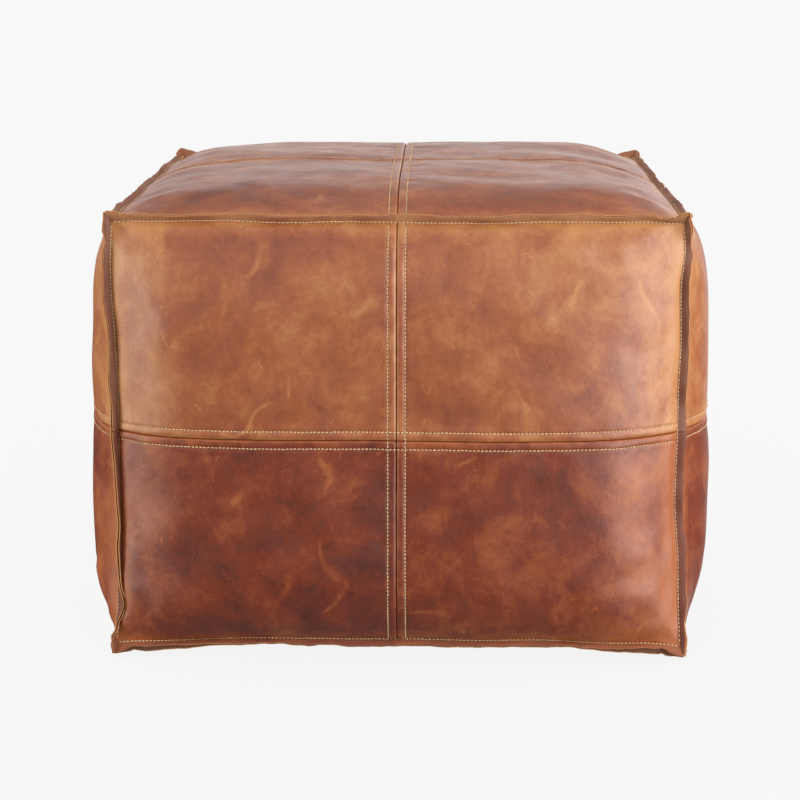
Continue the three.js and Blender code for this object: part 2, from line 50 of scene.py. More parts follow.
# ---------------------------------------------------------------- driving dimensions
TOP_HALF = 258.0  # half the seam width at the top edges
BASE_HALF = 265.2
HEM = 18.0  # base edge seams above the floor
TOP_SEAM_Z = 414.0
SIDE_BULGE, SIDE_LIFT = 37.0, 0.075
SEAM_RISE = 5.5  # the sides' level seams lie this far above the middle
LEFT_BOW, RIGHT_BOW = 4.0, 6.5  # how far the filling's pull draws the upright seams inwards
BOW_REACH = 45.0  # and how far from the seams that is felt
HEM_ARCH, ARCH_REACH = 5.5, 70.0  # how much each hem's middle is drawn up, and how far up it is felt
# Sharpness and fullness of the bulge along a side, above its fullest height and below it.
PLAN_SWELL, UPPER_SWELL, LOWER_SWELL = (4.5, 0.62), (4.8, 0.62), (8.0, 0.62)
TOP_BULGE, TOP_SWELL = 29.0, (5.1, 0.6)
FLAT_SHARE = 0.75  # the share of the base that lies flat, before it rises to the hem
RECESS_HALF, RECESS_RAMP, RECESS_END = 40.0, 24.0, 0.18  # the hollow over the zip, and how it closes
CHANNEL_HALF, CHANNEL_RAMP, CHANNEL_Z = 12.5, 3.0, 1.4  # the shallow one beside the level seam

LEATHER = 1.4
HALF_GAP = 0.25  # half the gap of a centre seam
NEAR, FAR = 0.15, 1.55  # inner and outer face of a flange layer from the seam's plane
GROOVE = 0.7  # how far out of the seam line the groove beside a flange lies
ROOT = 1.96  # how far inside the seam line the sewn layers end
FLANGE = 8.0
TALLER = 1.8  # extra flange height in the middle of an upright edge
EAR = 4.4  # extra flange height at a corner of the cube
EAR_REACH = 16.0  # how far along an edge the corner's ear is felt
LIP = 7.0  # how far the base's layer of the hem drops open beside the corners
LIP_START, LIP_RISE, LIP_END, LIP_FADE = 2.0, 12.0, 95.0, 70.0  # where it does so along the hem
BUNDLE, BUNDLE_REACH = 0.7, 11.0  # extra height where a centre seam runs into the flange
DIP, DIP_PLACE, DIP_REACH = 1.3, 19.0, 6.0  # the lower stretch between an ear and the flange
CRUMPLE, CRUMPLE_PLACE, CRUMPLE_REACH, CRUMPLE_TURN = 1.7, 13.0, 8.0, 0.6  # the kinks beside an ear
CLEAR = 0.1  # space kept between a flange and its own panel

FOLD_ALLOWANCE = 9.5  # leather turned in at a centre seam
ZIP_ALLOWANCE = 9.7  # and at the zip

STITCH_PITCH = 3.6
STITCH_LENGTH = 2.8
THREAD_RADIUS = 0.56
ROW = 7.9  # stitch rows from a centre seam
EDGE_ROW = 2.0  # stitch row up a flange
ZIP_ROW = 10.5
ZIP_GAP = 5.3
RECESS_Z = 9.0
STEP = 4.2  # spacing of the grid lines away from seams

FACES = {
    "front": ((0, -1, 0), (1, 0, 0), (0, 0, 1)),
    "back": ((0, 1, 0), (-1, 0, 0), (0, 0, 1)),
    "left": ((-1, 0, 0), (0, -1, 0), (0, 0, 1)),
    "right": ((1, 0, 0), (0, 1, 0), (0, 0, 1)),
    "top": ((0, 0, 1), (1, 0, 0), (0, 1, 0)),
    "base": ((0, 0, -1), (1, 0, 0), (0, -1, 0)),
}
FACES = {name: tuple(np.array(d, float) for d in dirs) for name, dirs in FACES.items()}

FOLD_Z = -2.7  # how deep a turned-in edge is seen between the panels

# Section of the leather beside a centre seam: distance from the seam, height of its surface.
SEAM_SECTION = [
    (HALF_GAP, FOLD_Z), (HALF_GAP, -1.4), (0.5, -0.6), (1.0, 0.05), (1.8, 0.5), (2.8, 0.8),
    (4.2, 0.9), (5.6, 0.72), (6.8, 0.3), (ROW, -0.35), (9.0, 0.05), (10.4, 0.25), (12.4, 0.12),
    (15.0, 0.0),
]
# The same beside the zip, from the folded edge, along the base.
ZIP_SECTION = [
    (0.0, FOLD_Z), (0.0, -1.4), (0.25, -0.6), (0.7, 0.05), (1.4, 0.35), (2.6, 0.5), (3.9, 0.25),
    (5.2, -0.3), (6.4, 0.02), (8.0, 0.2), (10.5, 0.1), (14.0, 0.0),
]
NEAR_EDGE = [11.0, 7.6, 5.0, 3.2, 2.0, 1.1, 0.45, 0.0]  # grid lines before an edge seam

# How the ears are turned from the cube's diagonals, at the corners with these signs of x, y, z.
CORNER_TURNS = {
    (-1, -1, 1): (0.1, 0.0, 0.8), (1, -1, 1): (-0.5, 0.0, 1.0),
    (-1, 1, 1): (0.1, 0.0, 1.1), (1, 1, 1): (0.0, 0.0, 0.6),
    (-1, -1, -1): (0.75, 0.2, -1.5), (1, -1, -1): (-0.3, 0.3, -1.0),
    (-1, 1, -1): (0.3, -0.2, -0.9), (1, 1, -1): (-0.2, -0.3, -1.0),
}

# How a flange leans, in degrees towards the first named face, along the edge from its low end.
LEANS = {
    ("front", "left"): [(0, 10), (0.03, 35), (0.055, 66), (0.08, 86), (0.1, 82), (0.13, 62), (0.19, 44),
                        (0.34, 38), (0.5, 22), (0.6, 14), (0.74, -4), (0.97, -12), (1, 0)],
    ("front", "right"): [(0, -20), (0.1, -42), (0.5, -48), (0.8, -44), (0.87, -26), (0.93, -58),
                         (0.975, -15), (1, 0)],
    ("front", "top"): [(0, -5), (0.08, -24), (0.5, -28), (0.86, -22), (0.93, -34), (1, 0)],
    ("base", "front"): [(0, 0), (0.06, -8), (0.18, -8), (0.34, 6), (0.66, 6), (0.82, -8), (0.94, -8),
                        (1, 0)],
    ("left", "top"): [(0, 0), (0.15, 12), (0.5, -10), (0.8, 14), (1, 0)],
    ("right", "top"): [(0, 0), (0.2, 24), (0.5, 10), (0.85, -12), (1, 0)],
    ("back", "top"): [(0, 0), (0.1, -18), (0.5, -12), (0.9, -26), (1, 0)],
    ("back", "left"): [(0, 10), (0.2, -42), (0.5, -20), (0.75, 18), (1, 0)],
    ("back", "right"): [(0, -10), (0.2, 40), (0.45, 34), (0.7, -15), (1, 0)],
    ("base", "left"): [(0, 5), (0.1, 26), (0.5, 36), (0.9, 20), (1, 5)],
    ("base", "right"): [(0, 5), (0.1, 22), (0.5, 30), (0.9, 26), (1, 5)],
    ("back", "base"): [(0, -5), (0.1, -24), (0.5, -34), (0.9, -24), (1, -5)],
}


# ---------------------------------------------------------------- small helpers
def unit(v):
    return v / np.maximum(np.linalg.norm(v, axis=-1, keepdims=True), 1e-12)


def dot(a, b):
    return (a * b).sum(-1, keepdims=True)


def smooth(x):
    x = np.clip(x, 0, 1)
    return x * x * (3 - 2 * x)


def ripple(points, wavelength, seed, count=14):
    """A smooth random field of about unit size, the same wherever two faces meet."""
    random = np.random.RandomState(seed)
    total = np.zeros(points.shape[:-1])
    for _ in range(count):
        direction = unit(random.normal(size=3))
        stretch = wavelength * random.uniform(0.75, 1.6)
        total += np.sin(points @ direction * (2 * math.pi / stretch) + random.uniform(0, 6.28))
    return total / math.sqrt(count / 2)


def bell(x, reach):
    """1 where x is 0, fading to nothing over a few times the reach."""
    return np.exp(-((x / reach) ** 2))


def wander(position, wavelength, seed):
    """A smooth random wave along a line."""
    along = np.stack([position, 0 * position, 0 * position], -1)
    return ripple(along, wavelength, seed, 8)


# ---------------------------------------------------------------- the stuffed form
def swell(x, sharpness, fullness):
    """How far a stuffed face stands out at x, from 1 in its middle to 0 at -1 and 1."""
    return np.maximum(0, 1 - np.abs(x) ** sharpness) ** fullness


def base_height(u, v, x, y, recess):
    """Height of the base's outer face above the floor."""
    def flat(t):
        return 1 - (np.maximum(0, np.abs(t) - FLAT_SHARE) / (1 - FLAT_SHARE)) ** 2

    along_rim = np.minimum(np.abs(u), np.abs(v))
    hem = (HEM + HEM_ARCH * (1 - along_rim**2)) * (1 - flat(u) * flat(v))
    ramp = smooth((RECESS_HALF - np.abs(x)) / RECESS_RAMP)
    end = smooth((1 - np.abs(v)) / RECESS_END)
    channel = CHANNEL_Z * smooth((CHANNEL_HALF - np.abs(y)) / CHANNEL_RAMP)
    return np.maximum(np.maximum(hem, recess * ramp * end), channel)


def form(face, u, v, inset=0.0, recess=RECESS_Z):
    """A point of the smooth stuffed form, for u and v from -1 to 1 across and up a face."""
    normal, across, _ = FACES[face]
    u, v = np.broadcast_arrays(np.asarray(u, float), np.asarray(v, float))
    if face == "base":
        x, y = u * (BASE_HALF - inset), -v * (BASE_HALF - inset)
        return np.stack([x, y, base_height(u, v, x, y, recess) + inset], -1)
    if face == "top":
        half = TOP_HALF - inset
        rise = TOP_BULGE * swell(u, *TOP_SWELL) * swell(v, *TOP_SWELL)
        return np.stack([u * half, v * half, TOP_SEAM_Z - inset + rise], -1)
    share = (v + 1) / 2
    half = BASE_HALF + (TOP_HALF - BASE_HALF) * share - inset
    x_side = u * across[0] + normal[0]
    bow = np.where(x_side > 0, RIGHT_BOW, LEFT_BOW) * np.maximum(0, 1 - v * v) ** 0.7 * (1 - 0.35 * v)
    half = half - bow * bell((1 - np.abs(u)) * TOP_HALF, BOW_REACH)
    lifted = v - SIDE_LIFT * (1 - v * v)
    upright = np.where(lifted > 0, swell(lifted, *UPPER_SWELL), swell(lifted, *LOWER_SWELL))
    bulge = SIDE_BULGE * swell(u, *PLAN_SWELL) * upright
    z = HEM + inset + (TOP_SEAM_Z - HEM - 2 * inset) * share + SEAM_RISE * (1 - v * v)
    z = z + HEM_ARCH * (1 - u * u) * bell(share * (TOP_SEAM_Z - HEM), ARCH_REACH)
    flat = across * (u * half)[..., None] + normal * (half + bulge)[..., None]
    return flat + np.stack([0 * z, 0 * z, z], -1)


def form_normal(face, u, v, inset=0.0, recess=RECESS_Z):
    step = 4e-4
    low_u, high_u = np.maximum(u - step, -1), np.minimum(u + step, 1)
    low_v, high_v = np.maximum(v - step, -1), np.minimum(v + step, 1)
    along_u = form(face, high_u, v, inset, recess) - form(face, low_u, v, inset, recess)
    along_v = form(face, u, high_v, inset, recess) - form(face, u, low_v, inset, recess)
    return unit(np.cross(along_u, along_v))


def facing(direction):
    return max(FACES, key=lambda name: float(FACES[name][0] @ direction))


# ---------------------------------------------------------------- raw flanges along the edges
class Flange:
    """The standing seam allowance of one face along one edge, at points of the seam line."""

    def __init__(self, face, neighbour, seam):
        first, second = sorted((face, neighbour))
        n1, n2 = FACES[first][0], FACES[second][0]
        along = np.abs(np.cross(n1, n2))
        axis = int(np.argmax(along))
        half = TOP_HALF if "top" in (first, second) else BASE_HALF
        low, high = (HEM, TOP_SEAM_Z) if axis == 2 else (-half, half)
        place = seam[..., axis]
        seed = 100 + 7 * list(LEANS).index((first, second))
        share = np.clip((place - low) / (high - low), 0, 1)
        to_end = np.minimum(place - low, high - place)
        ear = (1 - smooth(to_end / EAR_REACH))[..., None]
        straight_out, straight_side = unit(n1 + n2), unit(n1 - n2)
        self.sign = 1.0 if face == first else -1.0

        # The directions up the flange and to the side its face lies on, turned at the ears.
        lean = np.interp(share, *zip(*LEANS[(first, second)]))
        lean = np.radians(lean + 4 * wander(place, 70, seed))[..., None] * (1 - ear)
        out = np.cos(lean) * straight_out + np.sin(lean) * straight_side
        side = np.cos(lean) * straight_side - np.sin(lean) * straight_out
        ends = [n1 + n2 + along * end for end in (-1.0, 1.0)]
        turned = [unit(end + np.array(CORNER_TURNS[tuple(int(x) for x in end)])) for end in ends]
        diagonal = np.where((place > (low + high) / 2)[..., None], turned[1], turned[0])
        own = FACES[face][0]
        corner_side = unit(own - dot(own, diagonal) * diagonal)
        self.out = unit((1 - ear) * out + ear * diagonal)
        side = (1 - ear) * side * self.sign + ear * corner_side
        self.side = unit(side - dot(side, self.out) * self.out)
        wider = 1 + (2 / math.sqrt(3) - 1) * ear  # three pairs of layers share the room at an ear
        self.near, self.far = NEAR * wider, FAR * wider

        # Its uneven height, its waves, and how far its two layers part.
        height = BUNDLE * bell((share - 0.5) * (high - low), BUNDLE_REACH)
        height += 0.35 * wander(place, 26, seed + 1) + 0.2 * wander(place, 9, seed + 2)
        height += TALLER * smooth(to_end / 60) if axis == 2 else 0.0
        height -= DIP * bell(to_end - DIP_PLACE, DIP_REACH)
        self.height = FLANGE + height[..., None] * (1 - ear) + EAR * ear
        wave = 0.9 * wander(place, 55, seed + 3) + 0.35 * wander(place, 19, seed + 4)
        kinks = np.sin(to_end * CRUMPLE_TURN + seed) * bell(to_end - CRUMPLE_PLACE, CRUMPLE_REACH)
        self.wave = (wave + CRUMPLE * kinks)[..., None] * (1 - 0.6 * ear)
        split = 0.1 + 0.2 * np.abs(wander(place, 60, seed + 5))
        if face == "base":  # the base's layer drops away from the side's near the corners
            opening = smooth((to_end - LIP_START) / LIP_RISE) * smooth((LIP_END - to_end) / LIP_FADE)
            split = split + LIP * opening
        self.split = split[..., None]

        # The seam itself is not quite straight.
        drift = 0.9 * wander(place, 110, seed + 6)[..., None] * straight_side
        drift = drift + 0.5 * wander(place, 80, seed + 7)[..., None] * straight_out
        self.drift = drift * smooth(to_end / 40)[..., None]
        self.seam = seam + self.drift

    def point(self, height, aside):
        """A point at a height up the flange, aside from the seam's plane."""
        share = np.clip(height / self.height, 0, 1.1)
        bend = self.side * self.sign * self.wave * share**1.5
        return self.seam + self.out * height + self.side * (aside + self.split * share**2) + bend

    def settle(self, points):
        """Moves points of the face's own surface clear of the flange that stands beside them."""
        offset = points - self.seam
        aside, out = dot(offset, self.side), dot(offset, self.out)
        reach = 1 - smooth((out - self.height) / 8)
        reach = reach * (1 - smooth((np.linalg.norm(offset, axis=-1, keepdims=True) - 14) / 10))
        wanted = self.far + CLEAR
        softness = 0.7
        pushed = wanted + softness * np.logaddexp(0, (aside - wanted) / softness)
        groove = GROOVE * bell(aside, 2.5) * (aside < 8)
        return points + (self.side * (pushed - aside) + self.out * groove) * reach


# ---------------------------------------------------------------- meshes
def make_object(name, points, faces, attributes=()):
    mesh = bpy.data.meshes.new(name)
    mesh.from_pydata((np.asarray(points) * MM).tolist(), [], [list(f) for f in faces])
    mesh.update()
    mesh.shade_smooth()
    for label, values in attributes:
        layer = mesh.attributes.new(label, "FLOAT_VECTOR", "POINT")
        layer.data.foreach_set("vector", np.asarray(values, np.float32).ravel())
    piece = bpy.data.objects.new(name, mesh)
    bpy.context.scene.collection.objects.link(piece)
    return piece


def grid_quads(ids):
    """The quads between the points of a grid."""
    return np.stack([ids[:-1, :-1], ids[1:, :-1], ids[1:, 1:], ids[:-1, 1:]], -1).reshape(-1, 4)


def outward(points, quads):
    """The quads turned so that the closed mesh they make faces out."""
    a, b, c, d = (points[quads[:, k]] for k in range(4))
    volume = (a * np.cross(b, c)).sum() + (a * np.cross(c, d)).sum()
    return quads if volume > 0 else quads[:, ::-1]


def belongs(piece, body, node):
    """Says which body a piece moves with and which CAD node it stands for."""
    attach(piece, body)
    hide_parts(node)


# ---------------------------------------------------------------- wrinkles from a cloth simulation
CELLS = 46  # cloth cells along each face
LAST_STEP = 20
SEAM_PULL = 0.75  # how far a centre seam shrinks, as a share of an edge seam
LONGEST_WRINKLE = 4.5  # in cells: broader swelling is left to the form above
MOST_WRINKLE = 5.0
EDGE_WRINKLES, MIDDLE_WRINKLES = 0.36, 0.16  # the share of them kept near the edges and away


def weld(points):
    """Points without repeats, and the index of each original point among them."""
    _, keep, same = np.unique(np.round(points, 2), axis=0, return_index=True, return_inverse=True)
    return points[keep], same.reshape(-1)


def blurred(grid, cells):
    """A grid smoothed over some cells, mirrored at its borders."""
    reach = int(3 * cells)
    weights = np.exp(-((np.arange(-reach, reach + 1) / cells) ** 2) / 2)
    weights /= weights.sum()
    padded = np.pad(grid, reach, mode="reflect")
    rows = np.apply_along_axis(np.convolve, 0, padded, weights, "valid")
    return np.apply_along_axis(np.convolve, 1, rows, weights, "valid")


def stuff(cloth):
    """The cloth simulation: a thick hide under pressure from within, its seams drawn in."""
    settings = cloth.modifiers.new("stuffed", "CLOTH").settings
    settings.quality = 6
    settings.mass = 0.25
    settings.tension_stiffness = settings.compression_stiffness = 30
    settings.shear_stiffness = 15
    settings.bending_stiffness = 1.5
    settings.use_pressure = True
    settings.uniform_pressure_force = 4
    settings.effector_weights.gravity = 0
    settings.vertex_group_mass = "held"
    settings.vertex_group_shrink = "short"
    settings.shrink_min, settings.shrink_max = -0.03, 0.035


def simulate_wrinkles():
    """Inflates the sewn cube as cloth whose seams are a little short, and returns, for each
    face, a grid of how far the leather then rises above or sinks below its own average."""
    t = np.linspace(-1, 1, CELLS + 1)
    u, v = np.meshgrid(t, t, indexing="ij")
    places = [form(face, u, v, 0, 0) for face in FACES]
    ids = np.arange(u.size).reshape(u.shape)
    quads = np.concatenate([grid_quads(ids) + k * u.size for k in range(len(FACES))])
    points, same = weld(np.concatenate([p.reshape(-1, 3) for p in places]))
    cloth = make_object("cloth_for_wrinkles", points, same[quads])
    on_edge = (np.abs(u) > 0.999) | (np.abs(v) > 0.999)
    on_seam = (np.abs(u) < 0.5 / CELLS) | (np.abs(v) < 0.5 / CELLS)
    tight = np.where(on_edge, 1.0, np.where(on_seam, SEAM_PULL, 0.0))
    weights = np.zeros(len(points))
    weights[same] = np.tile(tight.reshape(-1), len(FACES))
    short = cloth.vertex_groups.new(name="short")
    held = cloth.vertex_groups.new(name="held")
    for index, weight in enumerate(weights):
        short.add([index], float(weight), "REPLACE")
        if points[index, 2] < 1:
            held.add([index], 1.0, "REPLACE")
    stuff(cloth)
    for step in range(1, LAST_STEP + 1):
        bpy.context.scene.frame_set(step)
    inflated = cloth.evaluated_get(bpy.context.evaluated_depsgraph_get()).to_mesh()
    moved = np.zeros(len(points) * 3)
    inflated.vertices.foreach_get("co", moved)
    change = (moved.reshape(-1, 3) / MM - points)[same].reshape(len(FACES), *u.shape, 3)
    bpy.context.scene.frame_set(1)
    bpy.data.objects.remove(cloth)
    wrinkles = {}
    for k, face in enumerate(FACES):
        rise = (change[k] * form_normal(face, u, v, 0, 0)).sum(-1)
        fine = rise - blurred(rise, LONGEST_WRINKLE)
        wrinkles[face] = MOST_WRINKLE * np.tanh(fine / MOST_WRINKLE)
    return wrinkles


def sample(grid, u, v):
    """A grid over one face read smoothly between its points."""
    last = grid.shape[0] - 1
    x, y = (u + 1) / 2 * last, (v + 1) / 2 * last
    column = np.clip(np.floor(x).astype(int), 0, last - 1)
    row = np.clip(np.floor(y).astype(int), 0, last - 1)
    fx, fy = x - column, y - row

    def spline(f):
        return (
            (-f + 2 * f * f - f**3) / 2, (2 - 5 * f * f + 3 * f**3) / 2,
            (f + 4 * f * f - 3 * f**3) / 2, (f**3 - f * f) / 2,
        )

    total = 0.0
    for i, across in enumerate(spline(fx)):
        for j, along in enumerate(spline(fy)):
            near = grid[np.clip(column + i - 1, 0, last), np.clip(row + j - 1, 0, last)]
            total = total + across * along * near
    return total


WRINKLES = simulate_wrinkles()


# ---------------------------------------------------------------- the cover's surface
def relief(face, points, u, v):
    """Small rises and hollows of stuffed leather, none at the edge seams and none on the base."""
    if face == "base":
        return np.zeros(points.shape[:-1])
    edge = (1 - np.maximum(np.abs(u), np.abs(v))) * TOP_HALF
    broad = 0.9 * ripple(points, 150, 1) + 0.35 * ripple(points, 62, 2)
    amount = broad * smooth(edge / 45)
    if WRINKLES:
        share = MIDDLE_WRINKLES + (EDGE_WRINKLES - MIDDLE_WRINKLES) * bell(edge, 70)
        amount += share * sample(WRINKLES[face], u, v) * smooth(edge / 10)
    gather = 0.35 * ripple(points, 26, 3) * smooth(edge / 9) * np.exp(-edge / 22)
    amount += gather
    near_seam = np.minimum(np.abs(u), np.abs(v)) * TOP_HALF
    pucker = 0.28 * ripple(points, 17, 4) * bell(near_seam - 9, 7)
    return amount + pucker * smooth(edge / 12)


def cover(face, a, b, u, v, height):
    """Points of the leather's outer face in the quarter of signs a, b, and the normals there."""
    place = form(face, u, v)
    normal = form_normal(face, u, v)
    _, across, up = FACES[face]
    lift = height + relief(face, place, u, v)
    place = place + normal * np.asarray(lift)[..., None]
    edges = []
    half = BASE_HALF if face == "base" else TOP_HALF
    for towards, distance, seam in (
        (a * across, (1 - np.abs(u)) * half, form(face, a + 0 * u, v, 0, 0)),
        (b * up, (1 - np.abs(v)) * half, form(face, u, b + 0 * v, 0, 0)),
    ):
        edge = Flange(face, facing(towards), seam)
        place = place + edge.drift * bell(distance, 16)[..., None]
        edges.append(edge)
    for edge in edges:
        place = edge.settle(place)
    return place, normal


def run(face, direction, sign):
    """Arc length along the middle of a face from its centre seam, against the share of its half."""
    share = 1 - np.linspace(1, 0, 1500) ** 2
    u, v = (sign * share, 0 * share) if direction == "u" else (0 * share, sign * share)
    points = form(face, u, v, 0, 0)
    steps = np.linalg.norm(np.diff(points, axis=0), axis=1)
    return share, np.concatenate([[0], np.cumsum(steps)])


def stations(face, direction, sign):
    """Shares, arc lengths and heights of the grid lines from a centre seam to an edge."""
    share, arc = run(face, direction, sign)
    length = arc[-1]
    section = SEAM_SECTION
    if face == "base" and direction == "u":
        section = [(ZIP_GAP + s, h) for s, h in ZIP_SECTION]
    start, stop = section[-1][0], length - NEAR_EDGE[0]
    count = max(2, int(round((stop - start) / STEP)))
    middle = np.linspace(start, stop, count + 1)[1:-1]
    s = np.concatenate([[s for s, _ in section], middle, length - np.array(NEAR_EDGE)])
    h = np.zeros(len(s))
    h[: len(section)] = [h for _, h in section]
    return np.interp(s, arc, share), s, h


def base_gap(v):
    """Half the opening between the base panels, which closes past the ends of the zip."""
    return ZIP_GAP + (HALF_GAP - ZIP_GAP) * smooth((np.abs(v) - 0.8) / 0.06)


def narrowed(share, v):
    """Base shares with the folded edge moved to the zip's opening at v."""
    x, gap = share * BASE_HALF, base_gap(v)
    moved = gap + (x - ZIP_GAP) * (ZIP_ROW - gap) / (ZIP_ROW - ZIP_GAP)
    return np.where(x < ZIP_ROW, moved, x) / BASE_HALF


# ---------------------------------------------------------------- leather panels
FLANGE_LINES = [1.3, EDGE_ROW, 2.8, 4.2, 5.8]  # heights of grid lines up a flange
TIP_ROUNDS = [(0.45, 0.0), (0.0, 0.35)]  # how far below the raw edge its last lines lie, and how far in
DIMPLE = 0.25  # how far a stitch draws its row into the leather
SUEDE = 0.65  # marks the flesh side for the shader: 0 is the grain side, 1 a cut edge
FOLD_FADE, FOLD_LAYER = 2.0, 1.5  # where the turned-in leather ends, and its thickness under the panel
MEETING = 0.9  # how nearly the halves of a flange meet over a centre seam


def flange_lines(edge):
    """Outer and inner points of a flange layer, line by line from just above its root."""
    tip = edge.height
    outer, inner, heights = [], [], []
    for height in FLANGE_LINES:
        dimple = DIMPLE if height == EDGE_ROW else 0.0
        outer.append(edge.point(height, edge.far - dimple))
        inner.append(edge.point(height, edge.near))
        heights.append(height + 0 * tip[..., 0])
    for drop, trim in TIP_ROUNDS:
        outer.append(edge.point(tip - drop, edge.far - trim))
        inner.append(edge.point(tip - drop, edge.near + trim))
        heights.append(tip[..., 0] - drop)
    return np.stack(outer), np.stack(inner), np.stack(heights)


class Shell:
    """The vertices of a panel, each with the values that the leather's shader reads there."""

    def __init__(self):
        self.parts, self.count = [], 0

    def add(self, points, rows, places, kind):
        """Adds a grid of vertices and returns the grid of their numbers."""
        shape = points.shape[:-1]
        columns = [np.broadcast_to(part, shape + (3,)) for part in (points, rows, places, kind)]
        self.parts.append(np.concatenate(columns, -1).reshape(-1, 12))
        ids = np.arange(int(np.prod(shape))).reshape(shape) + self.count
        self.count += ids.size
        return ids

    def add_flange(self, strip, rows, places, upright):
        """Adds both layers of a flange; rows and places are those of the seam it stands on."""
        outer, inner, heights = strip
        rows = np.broadcast_to(rows, heights.shape + (3,)).copy()
        rows[..., 2] = heights - EDGE_ROW
        found = []
        for layer, flesh in ((outer, 0.0), (inner, SUEDE)):
            # The second value is below 0 on an upright flange, where the shader paints the most shade.
            kind = np.stack([flesh + 0 * heights, 0 * heights - upright, heights], -1)
            kind[-1, :, 0] = 1.0
            found.append(self.add(layer, rows, places, kind))
        return found


def panel_body(face, a, b, u, v, s_u, s_v, height):
    """Outer and inner points of a panel between its open seams and its flanges."""
    outer, normal = cover(face, a, b, u, v, height)
    fold_u = ZIP_GAP + ZIP_ALLOWANCE if face == "base" else FOLD_ALLOWANCE
    in_fold_u = smooth((fold_u - s_u) / FOLD_FADE + 1)[:, None]
    in_fold_v = smooth((FOLD_ALLOWANCE - s_v) / FOLD_FADE + 1)[None, :]
    depth = LEATHER + FOLD_LAYER * np.maximum(in_fold_u, in_fold_v)
    inner = cover(face, a, b, u, v, 0 * height)[0] - normal * depth[..., None]
    if face == "base":
        outer[..., 2] = np.maximum(outer[..., 2], 0.0)
        inner[..., 2] = np.maximum(inner[..., 2], outer[..., 2] + LEATHER)
    return outer, inner


def panel_quads(body, flange_u, flange_v):
    """The quads of both layers and of the rim that joins them."""
    quads = []
    for layer, turn in ((0, 1), (1, -1)):
        grid = body[layer]
        above_u = np.concatenate([grid[-1:], flange_u[layer]])
        above_v = np.concatenate([grid[:, -1:], flange_v[layer].T], 1)
        quads += [grid_quads(part)[:, ::turn] for part in (grid, above_u, above_v)]
    rims = (
        ([np.concatenate([body[k][:, 0], flange_u[k][:, 0]]) for k in (0, 1)], -1),
        ([np.concatenate([body[k][0], flange_v[k][:, 0]]) for k in (0, 1)], 1),
        ([flange_u[k][-1] for k in (0, 1)], -1),
        ([flange_v[k][-1] for k in (0, 1)], 1),
    )
    quads += [grid_quads(np.stack(lines, -1)[::turn]) for lines, turn in rims]
    return np.concatenate(quads)


def build_panel(face, a, b):
    """One leather panel as a closed shell, with its open seams turned in and its raw flanges."""
    _, across, up = FACES[face]
    level = face in ("top", "base")
    share_u, s_u, h_u = stations(face, "u", a)
    share_v, s_v, h_v = stations(face, "v", b)
    v = b * share_v[None, :] + 0 * share_u[:, None]
    u = share_u[:, None] + 0 * v
    u = a * (narrowed(u, v) if face == "base" else u)
    height = np.maximum(h_u[:, None] + h_v[None, :], FOLD_Z)
    outer, inner = panel_body(face, a, b, u, v, s_u, s_v, height)

    edge_u = Flange(face, facing(a * across), form(face, a + 0 * v[-1], v[-1], 0, 0))
    edge_v = Flange(face, facing(b * up), form(face, u[:, -1], b + 0 * u[:, -1], 0, 0))
    outer[-1, :], inner[-1, :] = edge_u.point(GROOVE, edge_u.far), edge_u.point(-ROOT, edge_u.near)
    outer[:, -1], inner[:, -1] = edge_v.point(GROOVE, edge_v.far), edge_v.point(-ROOT, edge_v.near)
    outer[-1, -1] = edge_u.seam[-1] + edge_u.out[-1] * GROOVE + edge_u.side[-1] * edge_u.far[-1]
    strip_u, strip_v = flange_lines(edge_u), flange_lines(edge_v)
    for k in (0, 1):
        strip_v[k][:, -1] = strip_u[k][:, -1]
        strip_v[k][:, 0] -= MEETING * (strip_v[k][:, 0] @ across)[:, None] * across
        if level:
            strip_u[k][:, 0] -= MEETING * (strip_u[k][:, 0] @ up)[:, None] * up

    # Distances from the stitch rows and places along them, for the leather's shader.
    to_u, to_v = s_u[:, None] + 0 * v, s_v[None, :] + 0 * v
    to_edge = np.minimum(s_u[-1] - to_u, s_v[-1] - to_v)
    skin = form(face, u, v, 0, 0)
    along_up = skin @ np.abs(up) - (0 if level else (HEM + TOP_SEAM_Z) / 2)
    phase = along_up.copy()
    phase[:, -1] = skin[:, -1] @ np.abs(across)
    row_u = ZIP_ROW if face == "base" else ROW
    rows = np.stack([to_u - row_u, to_v - ROW, GROOVE - EDGE_ROW - to_edge], -1)
    places = np.stack([to_v, to_u, phase], -1)
    places_u = np.stack([to_v[-1], to_u[-1], along_up[-1]], -1)

    shell = Shell()
    body = [
        shell.add(layer, rows, places, np.stack([flesh + 0 * v, to_edge, 0 * v], -1))
        for layer, flesh in ((outer, 0.0), (inner, SUEDE))
    ]
    flange_u = shell.add_flange(strip_u, rows[-1], places_u, 0.0 if level else 1.0)
    flange_v = shell.add_flange(strip_v, rows[:, -1], places[:, -1], 0.0)
    for own, shared in zip(flange_v, flange_u):
        own[:, -1] = shared[:, -1]
    quads = panel_quads(body, flange_u, flange_v)
    used, compact = np.unique(quads, return_inverse=True)
    points, *data = np.split(np.concatenate(shell.parts)[used], 4, axis=1)
    return points, outward(points, compact.reshape(-1, 4)), data


